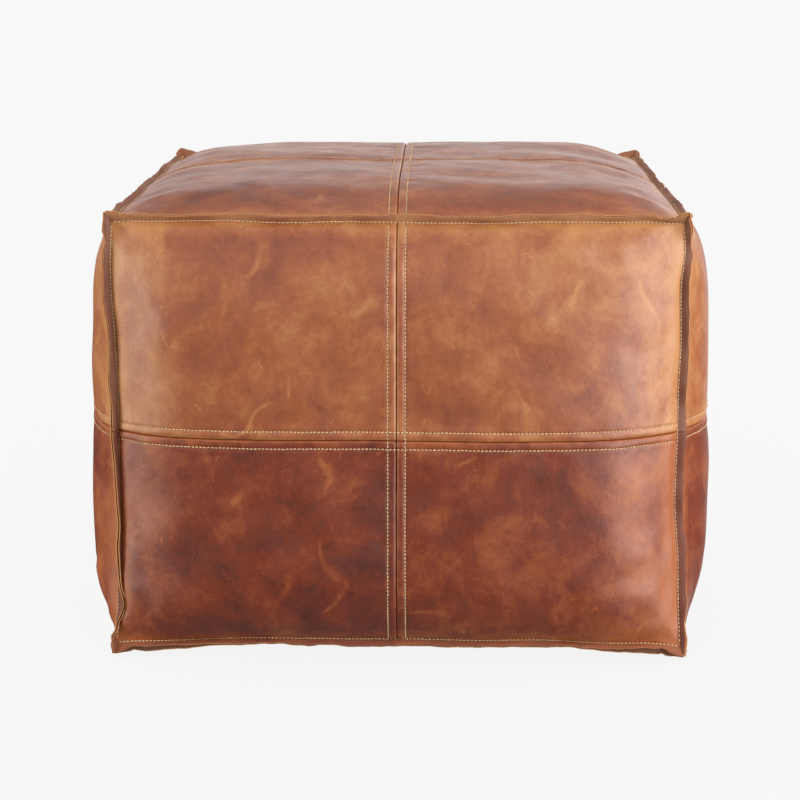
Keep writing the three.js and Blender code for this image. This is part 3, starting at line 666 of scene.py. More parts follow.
# ---------------------------------------------------------------- shader helpers
class Nodes:
    """Short ways to write a node tree."""

    def __init__(self, tree):
        self.tree = tree

    def add(self, kind, **settings):
        node = self.tree.nodes.new("ShaderNode" + kind)
        for key, value in settings.items():
            setattr(node, key, value)
        return node

    def plug(self, value, socket):
        if isinstance(value, bpy.types.NodeSocket):
            self.tree.links.new(value, socket)
        elif value is not None:
            socket.default_value = value

    def math(self, operation, *values, clamp=False):
        node = self.add("Math", operation=operation, use_clamp=clamp)
        for value, socket in zip(values, node.inputs):
            self.plug(value, socket)
        return node.outputs[0]

    def times(self, a, b):
        return self.math("MULTIPLY", a, b)

    def plus(self, value, more, share=1.0, clamp=False):
        """A value with a share of another added."""
        return self.math("ADD", value, self.times(more, share) if share != 1.0 else more, clamp=clamp)

    def split(self, vector):
        node = self.add("SeparateXYZ")
        self.plug(vector, node.inputs[0])
        return node.outputs[0], node.outputs[1], node.outputs[2]

    def mapped(self, value, low, high, to_low=0.0, to_high=1.0, soft=True):
        node = self.add("MapRange", interpolation_type="SMOOTHSTEP" if soft else "LINEAR")
        for socket, number in zip(node.inputs, (value, low, high, to_low, to_high)):
            self.plug(number, socket)
        return node.outputs[0]

    def mix(self, amount, a, b, blend="MIX"):
        node = self.add("Mix", data_type="RGBA", blend_type=blend)
        self.plug(amount, node.inputs[0])
        self.plug(a, node.inputs[6])
        self.plug(b, node.inputs[7])
        return node.outputs[2]

    def noise(self, where, size, detail=3.0, rough=0.5, distortion=0.0):
        """Noise whose features are about size metres across."""
        node = self.add("TexNoise")
        self.plug(where, node.inputs["Vector"])
        self.plug(1 / size, node.inputs["Scale"])
        self.plug(detail, node.inputs["Detail"])
        self.plug(rough, node.inputs["Roughness"])
        self.plug(distortion, node.inputs["Distortion"])
        return node.outputs["Fac"]

    def cells(self, where, size):
        node = self.add("TexVoronoi")
        self.plug(where, node.inputs["Vector"])
        self.plug(1 / size, node.inputs["Scale"])
        return node.outputs["Distance"]

    def ridge(self, where, size, width):
        """1 along winding lines, 0 away from them."""
        away = self.math("ABSOLUTE", self.math("SUBTRACT", self.noise(where, size, 1.0), 0.5))
        return self.mapped(away, width, 0.0)

    def place(self, offset=(0, 0, 0), stretch=(1, 1, 1)):
        """Object coordinates in metres, moved and stretched."""
        coordinates = self.add("TexCoord")
        mapping = self.add("Mapping")
        self.plug(coordinates.outputs["Object"], mapping.inputs["Vector"])
        mapping.inputs["Location"].default_value = offset
        mapping.inputs["Scale"].default_value = stretch
        return mapping.outputs["Vector"]

    def from_middle(self):
        """How far, in metres, a place on a side is from that side's middle line."""
        x, y, _ = self.split(self.add("TexCoord").outputs["Object"])
        return self.math("MINIMUM", self.math("ABSOLUTE", x), self.math("ABSOLUTE", y))

    def attribute(self, name):
        return self.split(self.add("Attribute", attribute_name=name).outputs["Vector"])

    def bump(self, height, distance, strength=1.0, normal=None):
        node = self.add("Bump")
        self.plug(height, node.inputs["Height"])
        node.inputs["Distance"].default_value = distance
        node.inputs["Strength"].default_value = strength
        self.plug(normal, node.inputs["Normal"])
        return node.outputs["Normal"]

    def bent(self, where, size, amount):
        """Coordinates bent by noise, so that a pattern's lines are not straight."""
        node = self.add("TexNoise")
        self.plug(where, node.inputs["Vector"])
        node.inputs["Scale"].default_value = 1 / size
        centred = self.add("VectorMath", operation="SUBTRACT")
        self.plug(node.outputs["Color"], centred.inputs[0])
        centred.inputs[1].default_value = (0.5, 0.5, 0.5)
        scaled = self.add("VectorMath", operation="SCALE")
        self.plug(centred.outputs[0], scaled.inputs[0])
        scaled.inputs["Scale"].default_value = amount
        moved = self.add("VectorMath", operation="ADD")
        self.plug(where, moved.inputs[0])
        self.plug(scaled.outputs[0], moved.inputs[1])
        return moved.outputs[0]

    def mix_shaders(self, amount, first, second, output):
        """Ends the tree in a mix of two shaders."""
        mixed = self.add("MixShader")
        for value, socket in zip((amount, first.outputs[0], second.outputs[0]), mixed.inputs):
            self.plug(value, socket)
        self.plug(mixed.outputs[0], self.tree.nodes[output].inputs["Surface"])


class Material(Nodes):
    """A new material's node tree, which ends in its Principled shader."""

    def __init__(self, name):
        self.material = bpy.data.materials.new(name)
        self.material.use_nodes = True
        super().__init__(self.material.node_tree)
        self.surface = self.tree.nodes["Principled BSDF"]

    def finish(self, colour, roughness, normal=None, metallic=0.0, specular=0.5):
        self.plug(colour, self.surface.inputs["Base Color"])
        self.plug(roughness, self.surface.inputs["Roughness"])
        self.plug(normal, self.surface.inputs["Normal"])
        self.surface.inputs["Metallic"].default_value = metallic
        self.surface.inputs["Specular IOR Level"].default_value = specular
        return self.material


def rgb(red, green, blue):
    """A linear colour from the usual 0 to 255 screen values."""
    def linear(c):
        c = c / 255
        return c / 12.92 if c <= 0.04045 else ((c + 0.055) / 1.055) ** 2.4

    return (linear(red), linear(green), linear(blue), 1.0)


# ---------------------------------------------------------------- leather
def hole_mask(n, across_row, along_row):
    """1 at the needle holes of a stitch row."""
    share = n.math("DIVIDE", along_row, STITCH_PITCH)
    along = n.times(n.math("SUBTRACT", share, n.math("ROUND", share)), STITCH_PITCH)
    squares = n.plus(n.math("POWER", across_row, 2.0), n.math("POWER", along, 2.0))
    return n.mapped(n.math("SQRT", squares), 0.25, 0.7, 1.0, 0.0)


def hide_tone(n, where, random, shift):
    """How pale the hide is, with the two noises that also decide where it wears paler."""
    cloud = n.noise(where, 0.1, 5.0, 0.6, 0.7)
    blotch = n.noise(where, 0.034, 6.0, 0.66, 0.5)
    smear = n.noise(n.place(tuple(random.uniform(-5, 5, 3)), (1.0, 1.0, 0.4)), 0.012, 4.0, 0.65, 0.6)
    tone = n.plus(n.times(cloud, 0.45), blotch, 0.42)
    tone = n.plus(tone, smear, 0.13)
    speckle = n.noise(where, 0.004, 4.0, 0.7)
    tone = n.plus(tone, n.math("SUBTRACT", speckle, 0.5), 0.16)
    tone = n.plus(tone, shift)

    # Fine dark flecks, most of them in the darker clouds.
    fleck = n.mapped(n.noise(where, 0.0021, 3.0, 0.7), 0.56, 0.72)
    fleck = n.times(fleck, n.mapped(tone, 0.6, 0.42, 0.15, 1.0))
    return n.math("SUBTRACT", tone, n.times(fleck, 0.1)), blotch, smear


def rubbed_and_highlit(n, tone, seam, edge_distance, blotch, smear):
    """Pull-up: paler on the puffed strip beside an open seam, where leather turns over and near the
    edge seams; paler towards the corners of each face, which is painted highlight.
    """
    worn = n.times(n.mapped(seam, 8.0, 6.5), n.mapped(smear, 0.3, 0.7, 0.3, 1.0))
    tone = n.plus(tone, worn, 0.05)
    rolled = n.times(n.mapped(seam, 2.2, 1.0), n.mapped(blotch, 0.3, 0.6, 0.4, 1.0))
    tone = n.plus(tone, rolled, 0.15)
    tone = n.plus(tone, n.mapped(edge_distance, 26.0, 3.0), 0.13)
    # Painted highlight: paler towards the corners of each face, where the side lights catch the rounded
    # shoulders of the sides.
    return n.plus(tone, n.mapped(n.from_middle(), 0.17, 0.25), 0.08)


def creased(n, tone, where, random):
    """Long soft creases where the hide was folded, then short thin scratches, both in patches."""
    crease = n.ridge(n.bent(where, 0.09, 0.05), 0.11, 0.02)
    crease = n.times(crease, n.mapped(n.noise(where, 0.06, 2.0), 0.5, 0.66))
    tone = n.plus(tone, crease, 0.13)
    scratch = n.ridge(n.place(tuple(random.uniform(-5, 5, 3)), (1.0, 1.0, 0.45)), 0.028, 0.012)
    scratch = n.times(scratch, n.mapped(n.noise(where, 0.018, 2.0), 0.58, 0.68))
    return n.plus(tone, scratch, 0.12)


def leather(name, seed, shift, dark, middle, light):
    """Waxed pull-up leather: cloudy, paler where bent or worn, with a fine grain, painted highlight
    near the corners and painted shade on flanges and needle holes.
    """
    n = Material(name)
    random = np.random.RandomState(seed)
    where = n.place(tuple(random.uniform(-5, 5, 3)))
    row_u, row_v, row_edge = n.attribute("rows")
    along_v, along_u, along_edge = n.attribute("places")
    flesh, edge_distance, flange_height = n.attribute("kind")

    tone, blotch, smear = hide_tone(n, where, random, shift)
    seam = n.math("MINIMUM", n.plus(row_u, ZIP_ROW if "base" in name else ROW), n.plus(row_v, ROW))
    tone = rubbed_and_highlit(n, tone, seam, edge_distance, blotch, smear)
    ramp = n.add("ValToRGB")
    first, last = ramp.color_ramp.elements
    first.position, first.color = 0.34, dark
    last.position, last.color = 0.69, light
    ramp.color_ramp.elements.new(0.5).color = middle
    n.plug(creased(n, tone, where, random), ramp.inputs["Fac"])

    # The cut edge is golden and fibrous, the flesh side brown suede. The flange's outside is darker
    # red-brown, partly its dye and partly painted shade, which is strongest on the upright flanges.
    fibre = n.noise(where, 0.0012, 3.0, 0.7)
    raw_colour = n.mix(fibre, rgb(168, 100, 54), rgb(226, 166, 104))
    band = n.mapped(flange_height, 0.5, 2.5)
    # Painted shade: the upright flanges are darkened more than the level ones, for the shadow they
    # stand in beside the corners.
    upright = n.mapped(edge_distance, -0.3, -0.7, 0.45, 0.85)
    colour = n.mix(n.times(band, upright), ramp.outputs["Color"], rgb(104, 48, 30))
    suede = n.mix(fibre, rgb(84, 44, 26), rgb(128, 76, 46))
    colour = n.mix(n.mapped(flesh, 0.25, 0.6), colour, suede)
    colour = n.mix(n.mapped(flesh, 0.75, 0.95), colour, raw_colour)

    # The needle holes are painted near-black: painted shade inside holes that the mesh does not cut.
    holes = n.math("MAXIMUM", hole_mask(n, row_u, along_v), hole_mask(n, row_v, along_u))
    holes = n.math("MAXIMUM", holes, hole_mask(n, row_edge, along_edge))
    colour = n.mix(n.times(holes, 0.8), colour, rgb(44, 20, 12))

    grain = n.cells(n.bent(where, 0.004, 0.0012), 0.0016)
    pores = n.noise(where, 0.0006, 2.0, 0.6)
    normal = n.bump(n.noise(where, 0.007, 3.0, 0.55), 0.0005, 0.5)
    normal = n.bump(n.plus(grain, pores, 0.5), 0.00012, 0.55, normal)
    normal = n.bump(n.math("SUBTRACT", 1.0, holes), 0.0005, 0.8, normal)

    polish = 0.07 if "top" in name else 0.0
    shine = n.noise(where, 0.02, 4.0, 0.6)
    roughness = n.mapped(shine, 0.25, 0.75, 0.42 - polish, 0.56 - polish, False)
    roughness = n.plus(roughness, flesh, 0.35, clamp=True)
    roughness = n.plus(roughness, band, 0.25, clamp=True)
    return n.finish(colour, roughness, normal, specular=0.75 if "lower" in name else 0.9)


TONES = {
    "upper": (rgb(120, 55, 27), rgb(156, 83, 40), rgb(188, 127, 71)),
    "lower": (rgb(80, 26, 9), rgb(120, 45, 13), rgb(164, 88, 40)),
    "top": (rgb(116, 53, 24), rgb(152, 77, 38), rgb(190, 121, 68)),
    "base": (rgb(84, 40, 26), rgb(118, 64, 42), rgb(160, 104, 72)),
}

# Panels cut from a paler or darker part of the hide.
SHIFTS = {
    "front_upper_left": -0.015, "front_upper_right": 0.005,
    "front_lower_left": -0.025, "front_lower_right": 0.02,
}

SIDE_COLUMNS = {
    "front": ((-1, "left"), (1, "right")), "back": ((1, "left"), (-1, "right")),
    "left": ((1, "front"), (-1, "back")), "right": ((-1, "front"), (1, "back")),
}


def panel_list():
    """Face, signs of the quarter, tone and name of each of the 24 panels."""
    panels = []
    for face, columns in SIDE_COLUMNS.items():
        for a, column in columns:
            for b, row in ((-1, "lower"), (1, "upper")):
                panels.append((face, a, b, row, f"{face}_{row}_{column}"))
    for a, column in ((-1, "left"), (1, "right")):
        for face, front in (("top", -1), ("base", 1)):
            for b, row in ((front, "front"), (-front, "back")):
                panels.append((face, a, b, face, f"{face}_{row}_{column}"))
    return panels


def cut_size(face):
    """Width and length in metres a panel is cut to: half the face, with its seam allowances."""
    turned_in = ZIP_ALLOWANCE if face == "base" else FOLD_ALLOWANCE
    across, up = run(face, "u", 1)[1][-1], run(face, "v", 1)[1][-1]
    return (across + FLANGE + turned_in) * MM, (up + FLANGE + FOLD_ALLOWANCE) * MM


def add_panel(index, face, a, b, tone, name):
    points, quads, (rows, places, kind) = build_panel(face, a, b)
    data = [("rows", rows), ("places", places), ("kind", kind)]
    panel = make_object(name + "_leather", points, quads, data)
    shift = SHIFTS.get(name, 0.02 * math.sin(5 * index))
    panel.data.materials.append(leather(name + "_leather", 20 + index, shift, *TONES[tone]))
    belongs(panel, "cover", name + "_panel")
    cut_size(face)


for index, panel in enumerate(panel_list()):
    add_panel(index, *panel)

# ---------------------------------------------------------------- stitches
STITCH_PATH = [  # share of half the stitch's length, and height of the thread's middle
    (-1.0, -0.5), (-0.82, -0.12), (-0.45, 0.12), (0.0, 0.2), (0.45, 0.12), (0.82, -0.12), (1.0, -0.5),
]
STITCH_SIDES = 6
THREAD_SEAT = -0.1  # how far a stitch is drawn into the leather of an open seam
SLANT, SLANT_SPREAD = 7.0, 5.0  # degrees a stitch lies across its row, and how much that varies
ZIP_END, ROW_END, BASE_ROW_END = 22.0, 3.0, 4.0  # how far from the edge seams the rows stop
BASE_ROW_START = 3  # stitches left out where the base's level seam meets the zip


def stitch_template():
    """Points of one stitch along X with Z up, its faces, and each point's place along and around."""
    points, marks = [], []
    for k, (along, height) in enumerate(STITCH_PATH):
        radius = THREAD_RADIUS * (0.75 if k in (0, len(STITCH_PATH) - 1) else 1.0)
        x = along * STITCH_LENGTH / 2
        for side in range(STITCH_SIDES):
            turn = 2 * math.pi * side / STITCH_SIDES
            points.append((x, radius * math.cos(turn), height + radius * math.sin(turn)))
            marks.append((x, side / STITCH_SIDES))
    rings = np.arange(len(points)).reshape(-1, STITCH_SIDES)
    faces = []
    for low, high in zip(rings[:-1], rings[1:]):
        for side in range(STITCH_SIDES):
            after = (side + 1) % STITCH_SIDES
            faces.append([low[side], high[side], high[after], low[after]])
    faces += [list(rings[0]), list(rings[-1][::-1])]
    return np.array(points), faces, np.array(marks)


def sew(name, places, alongs, ups, seed):
    """One object of stitches at the given places, each turned and sized a little differently."""
    template, faces, marks = stitch_template()
    random = np.random.RandomState(seed)
    count = len(places)
    slant = np.radians(SLANT + SLANT_SPREAD * random.normal(size=(count, 1)))
    ups = unit(ups)
    alongs = unit(alongs - dot(alongs, ups) * ups)
    sides = np.cross(ups, alongs)
    turned = np.cos(slant) * alongs + np.sin(slant) * sides
    sides = np.cross(ups, turned)
    length = 1 + 0.04 * random.normal(size=(count, 1, 1))
    places = places + sides * 0.08 * random.normal(size=(count, 1))
    points = (
        places[:, None] + turned[:, None] * template[None, :, :1] * length
        + sides[:, None] * template[None, :, 1:2] + ups[:, None] * template[None, :, 2:]
    )
    size = len(template)
    all_faces = []
    for k in range(count):
        all_faces += [[i + k * size for i in face] for face in faces]
    lot = random.uniform(size=(count, 1))
    columns = (marks[None, :, 0], marks[None, :, 1], lot)
    twist = np.stack([np.broadcast_to(column, (count, size)) for column in columns], -1)
    return make_object(name, points.reshape(-1, 3), all_faces, [("twist", twist.reshape(-1, 3))])


def thread_material():
    n = Material("cream_waxed_thread")
    along, turn, lot = n.attribute("twist")
    winding = n.plus(n.math("DIVIDE", along, 1.1), turn)
    ply = n.math("SINE", n.times(winding, 2 * math.pi * 2))
    fibres = n.noise(n.place(), 0.00035, 3.0, 0.7)
    dirt = n.noise(n.place((3, 1, 2)), 0.02, 3.0, 0.6)
    colour = n.mix(fibres, rgb(238, 190, 136), rgb(255, 226, 180))
    colour = n.mix(n.mapped(dirt, 0.45, 0.75, 0.0, 0.35), colour, rgb(150, 112, 76))
    colour = n.mix(n.times(lot, 0.18), colour, rgb(176, 128, 88))
    # Painted shade: darker in the grooves between the twisted plies.
    groove = n.mapped(ply, -1.0, -0.2, 0.4, 0.0)
    colour = n.mix(groove, colour, rgb(120, 88, 60))
    normal = n.bump(ply, 0.00012, 0.8)
    normal = n.bump(fibres, 0.0001, 0.5, normal)
    return n.finish(colour, 0.62, normal, specular=0.35)


THREAD = thread_material()


def share_at(face, direction, sign, distance):
    """The share of a face's half at a distance from its centre seam."""
    share, arc = run(face, direction, sign)
    return np.interp(distance, arc, share)


def row_of(face, a, b, direction, across_share, first, skip):
    """Stitches of one row in one quarter: direction is the way the row runs."""
    share, arc = run(face, direction, a if direction == "u" else b)
    count = int((arc[-1] - skip) / STITCH_PITCH - 0.5)
    s = (np.arange(first, count) + 0.5) * STITCH_PITCH
    t = np.interp(s, arc, share)
    fixed = across_share + 0 * t
    u, v = (a * t, b * fixed) if direction == "u" else (a * fixed, b * t)
    section, start = SEAM_SECTION, 0.0
    if face == "base" and direction == "u":
        section, start = ZIP_SECTION, ZIP_GAP
    crossing = np.interp(s, [start + x for x, _ in section], [h for _, h in section])
    place, up = cover(face, a, b, u, v, crossing + THREAD_SEAT)
    return place, np.gradient(place, axis=0), up


def face_stitches(face, quarters):
    lots = []
    for a, b in quarters:
        level_row = share_at(face, "v", b, ROW)
        if face == "base":
            lots.append(row_of(face, a, b, "v", ZIP_ROW / BASE_HALF, 0, ZIP_END))
            lots.append(row_of(face, a, b, "u", level_row, BASE_ROW_START, BASE_ROW_END))
        else:
            lots.append(row_of(face, a, b, "v", share_at(face, "u", a, ROW), 0, ROW_END))
            lots.append(row_of(face, a, b, "u", level_row, 0, ROW_END))
    return [np.concatenate(parts) for parts in zip(*lots)]


def seam_length(*faces):
    """Straight length of the edge seam between two faces."""
    if "top" in faces:
        return 2 * TOP_HALF
    return 2 * BASE_HALF if "base" in faces else TOP_SEAM_Z - HEM


def edge_stitches(face, neighbour):
    """Stitches at the root of the flange between two faces, on the layers of both."""
    half = seam_length(face, neighbour) / 2
    count = int((half + 1) / STITCH_PITCH - 0.5)
    t = (np.arange(-count, count) + 0.5) * STITCH_PITCH / half
    lots = []
    for own, other in ((face, neighbour), (neighbour, face)):
        _, across, up = FACES[own]
        towards = FACES[other][0]
        if abs(towards @ across) > 0.5:
            seam = form(own, float(np.sign(towards @ across)) + 0 * t, t, 0, 0)
        else:
            seam = form(own, t, float(np.sign(towards @ up)) + 0 * t, 0, 0)
        edge = Flange(own, other, seam)
        place = edge.point(EDGE_ROW, edge.far)
        lots.append((place, np.gradient(place, axis=0), edge.side))
    return [np.concatenate(parts) for parts in zip(*lots)]


def add_stitching(name, node, parts, seed):
    piece = sew(name, *parts, seed)
    piece.data.materials.append(THREAD)
    belongs(piece, "cover", node)


def add_all_stitching():
    """Every group of rows has its own seed, so that no two are uneven in the same way."""
    quarters = [(-1, -1), (-1, 1), (1, -1), (1, 1)]
    sides = ("front", "back", "left", "right")
    for k, face in enumerate(sides + ("top",)):
        add_stitching(face + "_stitches", face + "_stitching", face_stitches(face, quarters), 300 + k)
    for k, (a, side) in enumerate(((-1, "left"), (1, "right"))):
        parts = face_stitches("base", [(a, -1), (a, 1)])
        add_stitching(f"base_{side}_stitches", f"base_{side}_stitching", parts, 310 + k)
    for k, face in enumerate(sides):
        for edge, other, seed in (("top_edge", "top", 320), ("hem", "base", 330)):
            parts = edge_stitches(face, other)
            add_stitching(f"{edge}_{face}_stitches", f"{edge}_{face}_thread", parts, seed + k)
    corners = [(face, side) for face in ("front", "back") for side in ("left", "right")]
    for k, (face, side) in enumerate(corners):
        name = f"corner_{face}_{side}"
        add_stitching(name + "_stitches", name + "_thread", edge_stitches(face, side), 340 + k)


add_all_stitching()

# ---------------------------------------------------------------- cotton bag and filling
OVER_ZIP_Z = 15.2
OVER_ZIP_HALF, OVER_ZIP_RAMP, OVER_ZIP_END = 46.0, 24.0, 0.06  # the hollow that clears the zip
BAG_INSET, BAG_THICKNESS, FILLING_INSET = 5.0, 1.2, 7.0
BAG_MOUTH = (2.0, 120.0)  # half width and half length of the slit in the bag's base
LUMPS, MIDDLE_Z = 3.0, 210.0  # how deep the filling's dents are, and the height they point to
BUNCHING = 0.86  # how much closer the grid lines are near the edges: 0 is evenly spaced


def inner_form(name, inset, lumps, mouth=None):
    """A closed form that follows the cover from inside; lumps move it further in."""
    reach = math.pi / 2 * BUNCHING
    t = np.sin(np.linspace(-1, 1, 49) * reach) / math.sin(reach)
    slit = BAG_MOUTH[0] / BASE_HALF
    with_slit = np.sort(np.concatenate([t, [-slit, slit]]))
    points, quads = [], []
    for face in FACES:
        v, u = np.meshgrid(t, t if face in ("left", "right") else with_slit)
        place = form(face, u, v, inset, 0)
        normal = form_normal(face, u, v, inset, 0)
        if face == "base":
            over = smooth((OVER_ZIP_HALF - np.abs(place[..., 0])) / OVER_ZIP_RAMP)
            over = over * (OVER_ZIP_Z + inset - BAG_INSET) * smooth((1 - np.abs(v)) / OVER_ZIP_END)
            place[..., 2] = np.maximum(place[..., 2], over)
        place = place + normal * relief(face, form(face, u, v), u, v)[..., None]
        if lumps:
            dents = lumps * (0.5 + 0.3 * ripple(place, 26, 61) + 0.2 * ripple(place, 11, 62))
            away = unit(place - np.array([0, 0, MIDDLE_Z]))
            place = place - away * np.maximum(dents, 0)[..., None]
        ids = np.arange(u.size).reshape(u.shape)
        found = grid_quads(ids)
        if mouth and face == "base":
            middle = place.reshape(-1, 3)[found].mean(1)
            found = found[(np.abs(middle[:, 0]) > mouth[0]) | (np.abs(middle[:, 1]) > mouth[1])]
        quads.append(found + sum(len(p) for p in points))
        points.append(place.reshape(-1, 3))
    points, same = weld(np.concatenate(points))
    return make_object(name, points, outward(points, same[np.concatenate(quads)]))


def cotton_material():
    n = Material("unbleached_cotton")
    where = n.place()
    weave = [n.add("TexWave", wave_type="BANDS", bands_direction=axis) for axis in ("X", "Z")]
    for wave in weave:
        n.plug(n.bent(where, 0.02, 0.0006), wave.inputs["Vector"])
        wave.inputs["Scale"].default_value = 260
        wave.inputs["Distortion"].default_value = 0.6
    threads = n.math("MAXIMUM", weave[0].outputs["Fac"], weave[1].outputs["Fac"])
    slubs = n.noise(n.place((0, 0, 0), (1, 1, 8)), 0.004, 3.0, 0.6)
    colour = n.mix(slubs, rgb(196, 184, 158), rgb(228, 219, 198))
    # Painted shade: darker in the gaps between the threads.
    colour = n.mix(n.mapped(threads, 0.5, 0.1, 0.0, 0.35), colour, rgb(150, 136, 110))
    normal = n.bump(threads, 0.0002, 0.6)
    return n.finish(colour, 0.92, n.bump(slubs, 0.0003, 0.4, normal), specular=0.2)


def filling_material():
    n = Material("fibre_filling")
    where = n.place()
    tufts = n.noise(n.bent(where, 0.03, 0.02), 0.006, 5.0, 0.7)
    strands = n.noise(n.bent(where, 0.01, 0.02), 0.0012, 3.0, 0.8)
    colour = n.mix(tufts, rgb(206, 202, 192), rgb(240, 238, 231))
    normal = n.bump(strands, 0.0006, 0.8, n.bump(tufts, 0.002, 0.7))
    return n.finish(colour, 0.95, normal, specular=0.15)


bag = inner_form("cotton_bag", BAG_INSET, 0, BAG_MOUTH)
cloth = bag.modifiers.new("cloth_thickness", "SOLIDIFY")
cloth.thickness, cloth.offset = BAG_THICKNESS * MM, -1
bag.data.materials.append(cotton_material())
belongs(bag, "cover", "inner_cotton_bag")
filling = inner_form("stuffing", FILLING_INSET, LUMPS)
filling.data.materials.append(filling_material())
belongs(filling, "cover", "fibre_filling")

# ---------------------------------------------------------------- zip fastener
COIL_PITCH, WIRE = 1.6, 0.32
COIL_GAP = 0.35  # from the middle to each half of the chain
BEVEL = 0.22  # width of the rounding of the brass pieces' edges
TAPE_END = 8.0  # how far each end of the tape runs on, hidden under the base's leather
TAPE_FRAY, TAPE_EDGE = 0.25, 0.12  # how uneven the tape's ends are, and how much thinner its edges


def tube(name, path, radius, sides):
    """A closed round wire along a path."""
    along = unit(np.gradient(path, axis=0))
    flat = unit(np.cross(along, np.array([0.0, 1.0, 0.1])))
    upright = np.cross(along, flat)
    turn = 2 * math.pi * np.arange(sides) / sides
    ring = flat[:, None] * np.cos(turn)[None, :, None] + upright[:, None] * np.sin(turn)[None, :, None]
    points = (path[:, None] + radius * ring).reshape(-1, 3)
    ids = np.arange(len(points)).reshape(-1, sides)
    around = np.roll(ids, -1, axis=1)
    quads = np.stack([ids[:-1], around[:-1], around[1:], ids[1:]], -1).reshape(-1, 4)
    faces = quads.tolist() + [list(ids[0][::-1]), list(ids[-1])]
    return make_object(name, points, faces)


def squared(wave):
    """A sine wave with a flatter crest."""
    return np.sign(wave) * np.abs(wave) ** 0.8


def coil(side, name):
    """One half of the chain: a wire wound in a flattened spiral along the tape."""
    low, high = (np.array(corner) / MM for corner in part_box("zip_coil_" + name))
    inner, outer = side * COIL_GAP, side * max(abs(low[0]), abs(high[0]))
    middle = np.array([(inner + outer) / 2, (low[2] + high[2]) / 2])
    reach = np.array([abs(outer - inner) / 2 - WIRE, (high[2] - low[2]) / 2 - WIRE])
    turns = (high[1] - low[1] - 2 * WIRE) / COIL_PITCH
    steps = 14
    angle = np.linspace(0, 2 * math.pi * turns, int(turns * steps))
    y = low[1] + WIRE + angle / (2 * math.pi) * COIL_PITCH
    phase = angle + (math.pi if side > 0 else 0)
    x = middle[0] + side * reach[0] * squared(np.cos(phase))
    z = middle[1] + reach[1] * squared(np.sin(phase))
    return tube("zip_teeth_" + name, np.stack([x, y, z], -1), WIRE, 5)


def coil_material():
    n = Material("zip_coil_nylon")
    dust = n.noise(n.place(), 0.003, 3.0, 0.6)
    colour = n.mix(dust, rgb(58, 40, 28), rgb(96, 72, 52))
    roughness = n.mapped(dust, 0.3, 0.7, 0.28, 0.45, False)
    return n.finish(colour, roughness, n.bump(n.noise(n.place(), 0.0004, 2.0), 0.00005, 0.5))


def tape(name):
    """The woven tape, a thin strip with softened edges and slightly uneven ends."""
    low, high = (np.array(corner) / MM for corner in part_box("zip_tape_" + name))
    x = np.linspace(low[0], high[0], 9)
    y = np.linspace(low[1] - TAPE_END, high[1] + TAPE_END, 211)
    grid_y, grid_x = np.meshgrid(y, x)
    ends = (grid_y == y[0]) | (grid_y == y[-1])
    frayed = np.where(ends, TAPE_FRAY * np.abs(np.sin(grid_x * 4.1)), 0)
    bottom = np.stack([grid_x, grid_y - frayed * np.sign(grid_y), 0 * grid_x + low[2]], -1)
    top = bottom + np.array([0, 0, high[2] - low[2]])
    bottom[[0, -1], :, 2] += TAPE_EDGE
    top[[0, -1], :, 2] -= TAPE_EDGE
    points = np.concatenate([bottom.reshape(-1, 3), top.reshape(-1, 3)])
    ids = np.arange(grid_x.size).reshape(grid_x.shape)
    border = np.concatenate([ids[:, 0], ids[-1, 1:], ids[::-1, -1][1:], ids[0, ::-1][1:]])
    rim = grid_quads(np.stack([border, border + ids.size], -1))
    quads = [grid_quads(ids)[:, ::-1], grid_quads(ids + ids.size), rim]
    return make_object("zip_tape_woven_" + name, points, outward(points, np.concatenate(quads)))


def tape_material():
    n = Material("zip_tape_woven")
    where = n.place()
    ribs = n.add("TexWave", wave_type="BANDS", bands_direction="Y")
    ribs.inputs["Scale"].default_value = 420
    diagonal = n.add("TexWave", wave_type="BANDS", bands_direction="DIAGONAL")
    diagonal.inputs["Scale"].default_value = 300
    for wave in (ribs, diagonal):
        n.plug(where, wave.inputs["Vector"])
        wave.inputs["Distortion"].default_value = 0.3
    weave = n.times(ribs.outputs["Fac"], diagonal.outputs["Fac"])
    lint = n.noise(where, 0.0015, 4.0, 0.7)
    colour = n.mix(n.plus(n.times(weave, 0.6), lint, 0.4), rgb(38, 27, 20), rgb(92, 70, 54))
    return n.finish(colour, 0.88, n.bump(weave, 0.00015, 0.8), specular=0.2)


def brass_material():
    n = Material("antique_brass")
    where = n.place()
    stain = n.noise(where, 0.005, 4.0, 0.65)
    brushed = n.noise(n.place((1, 2, 3), (1, 0.08, 1)), 0.0004, 2.0, 0.6)
    colour = n.mix(stain, rgb(116, 84, 44), rgb(196, 158, 92))
    roughness = n.plus(n.mapped(stain, 0.3, 0.7, 0.22, 0.42, False), brushed, 0.1)
    return n.finish(colour, roughness, n.bump(brushed, 0.00003, 0.5), metallic=1.0)


def rounded(node, body):
    """The CAD part's shape with its edges rounded, as a casting's are."""
    source = bpy.data.objects[node]
    piece = bpy.data.objects.new(node + "_brass", source.data.copy())
    scene.collection.objects.link(piece)
    piece.matrix_world = source.matrix_world
    piece.data.materials.clear()
    piece.data.materials.append(BRASS)
    piece.data.shade_smooth()
    edges = piece.modifiers.new("rounded_edges", "BEVEL")
    edges.width, edges.segments, edges.limit_method = BEVEL * MM, 2, "ANGLE"
    edges.angle_limit = math.radians(35)
    edges.harden_normals = True
    belongs(piece, body, node)


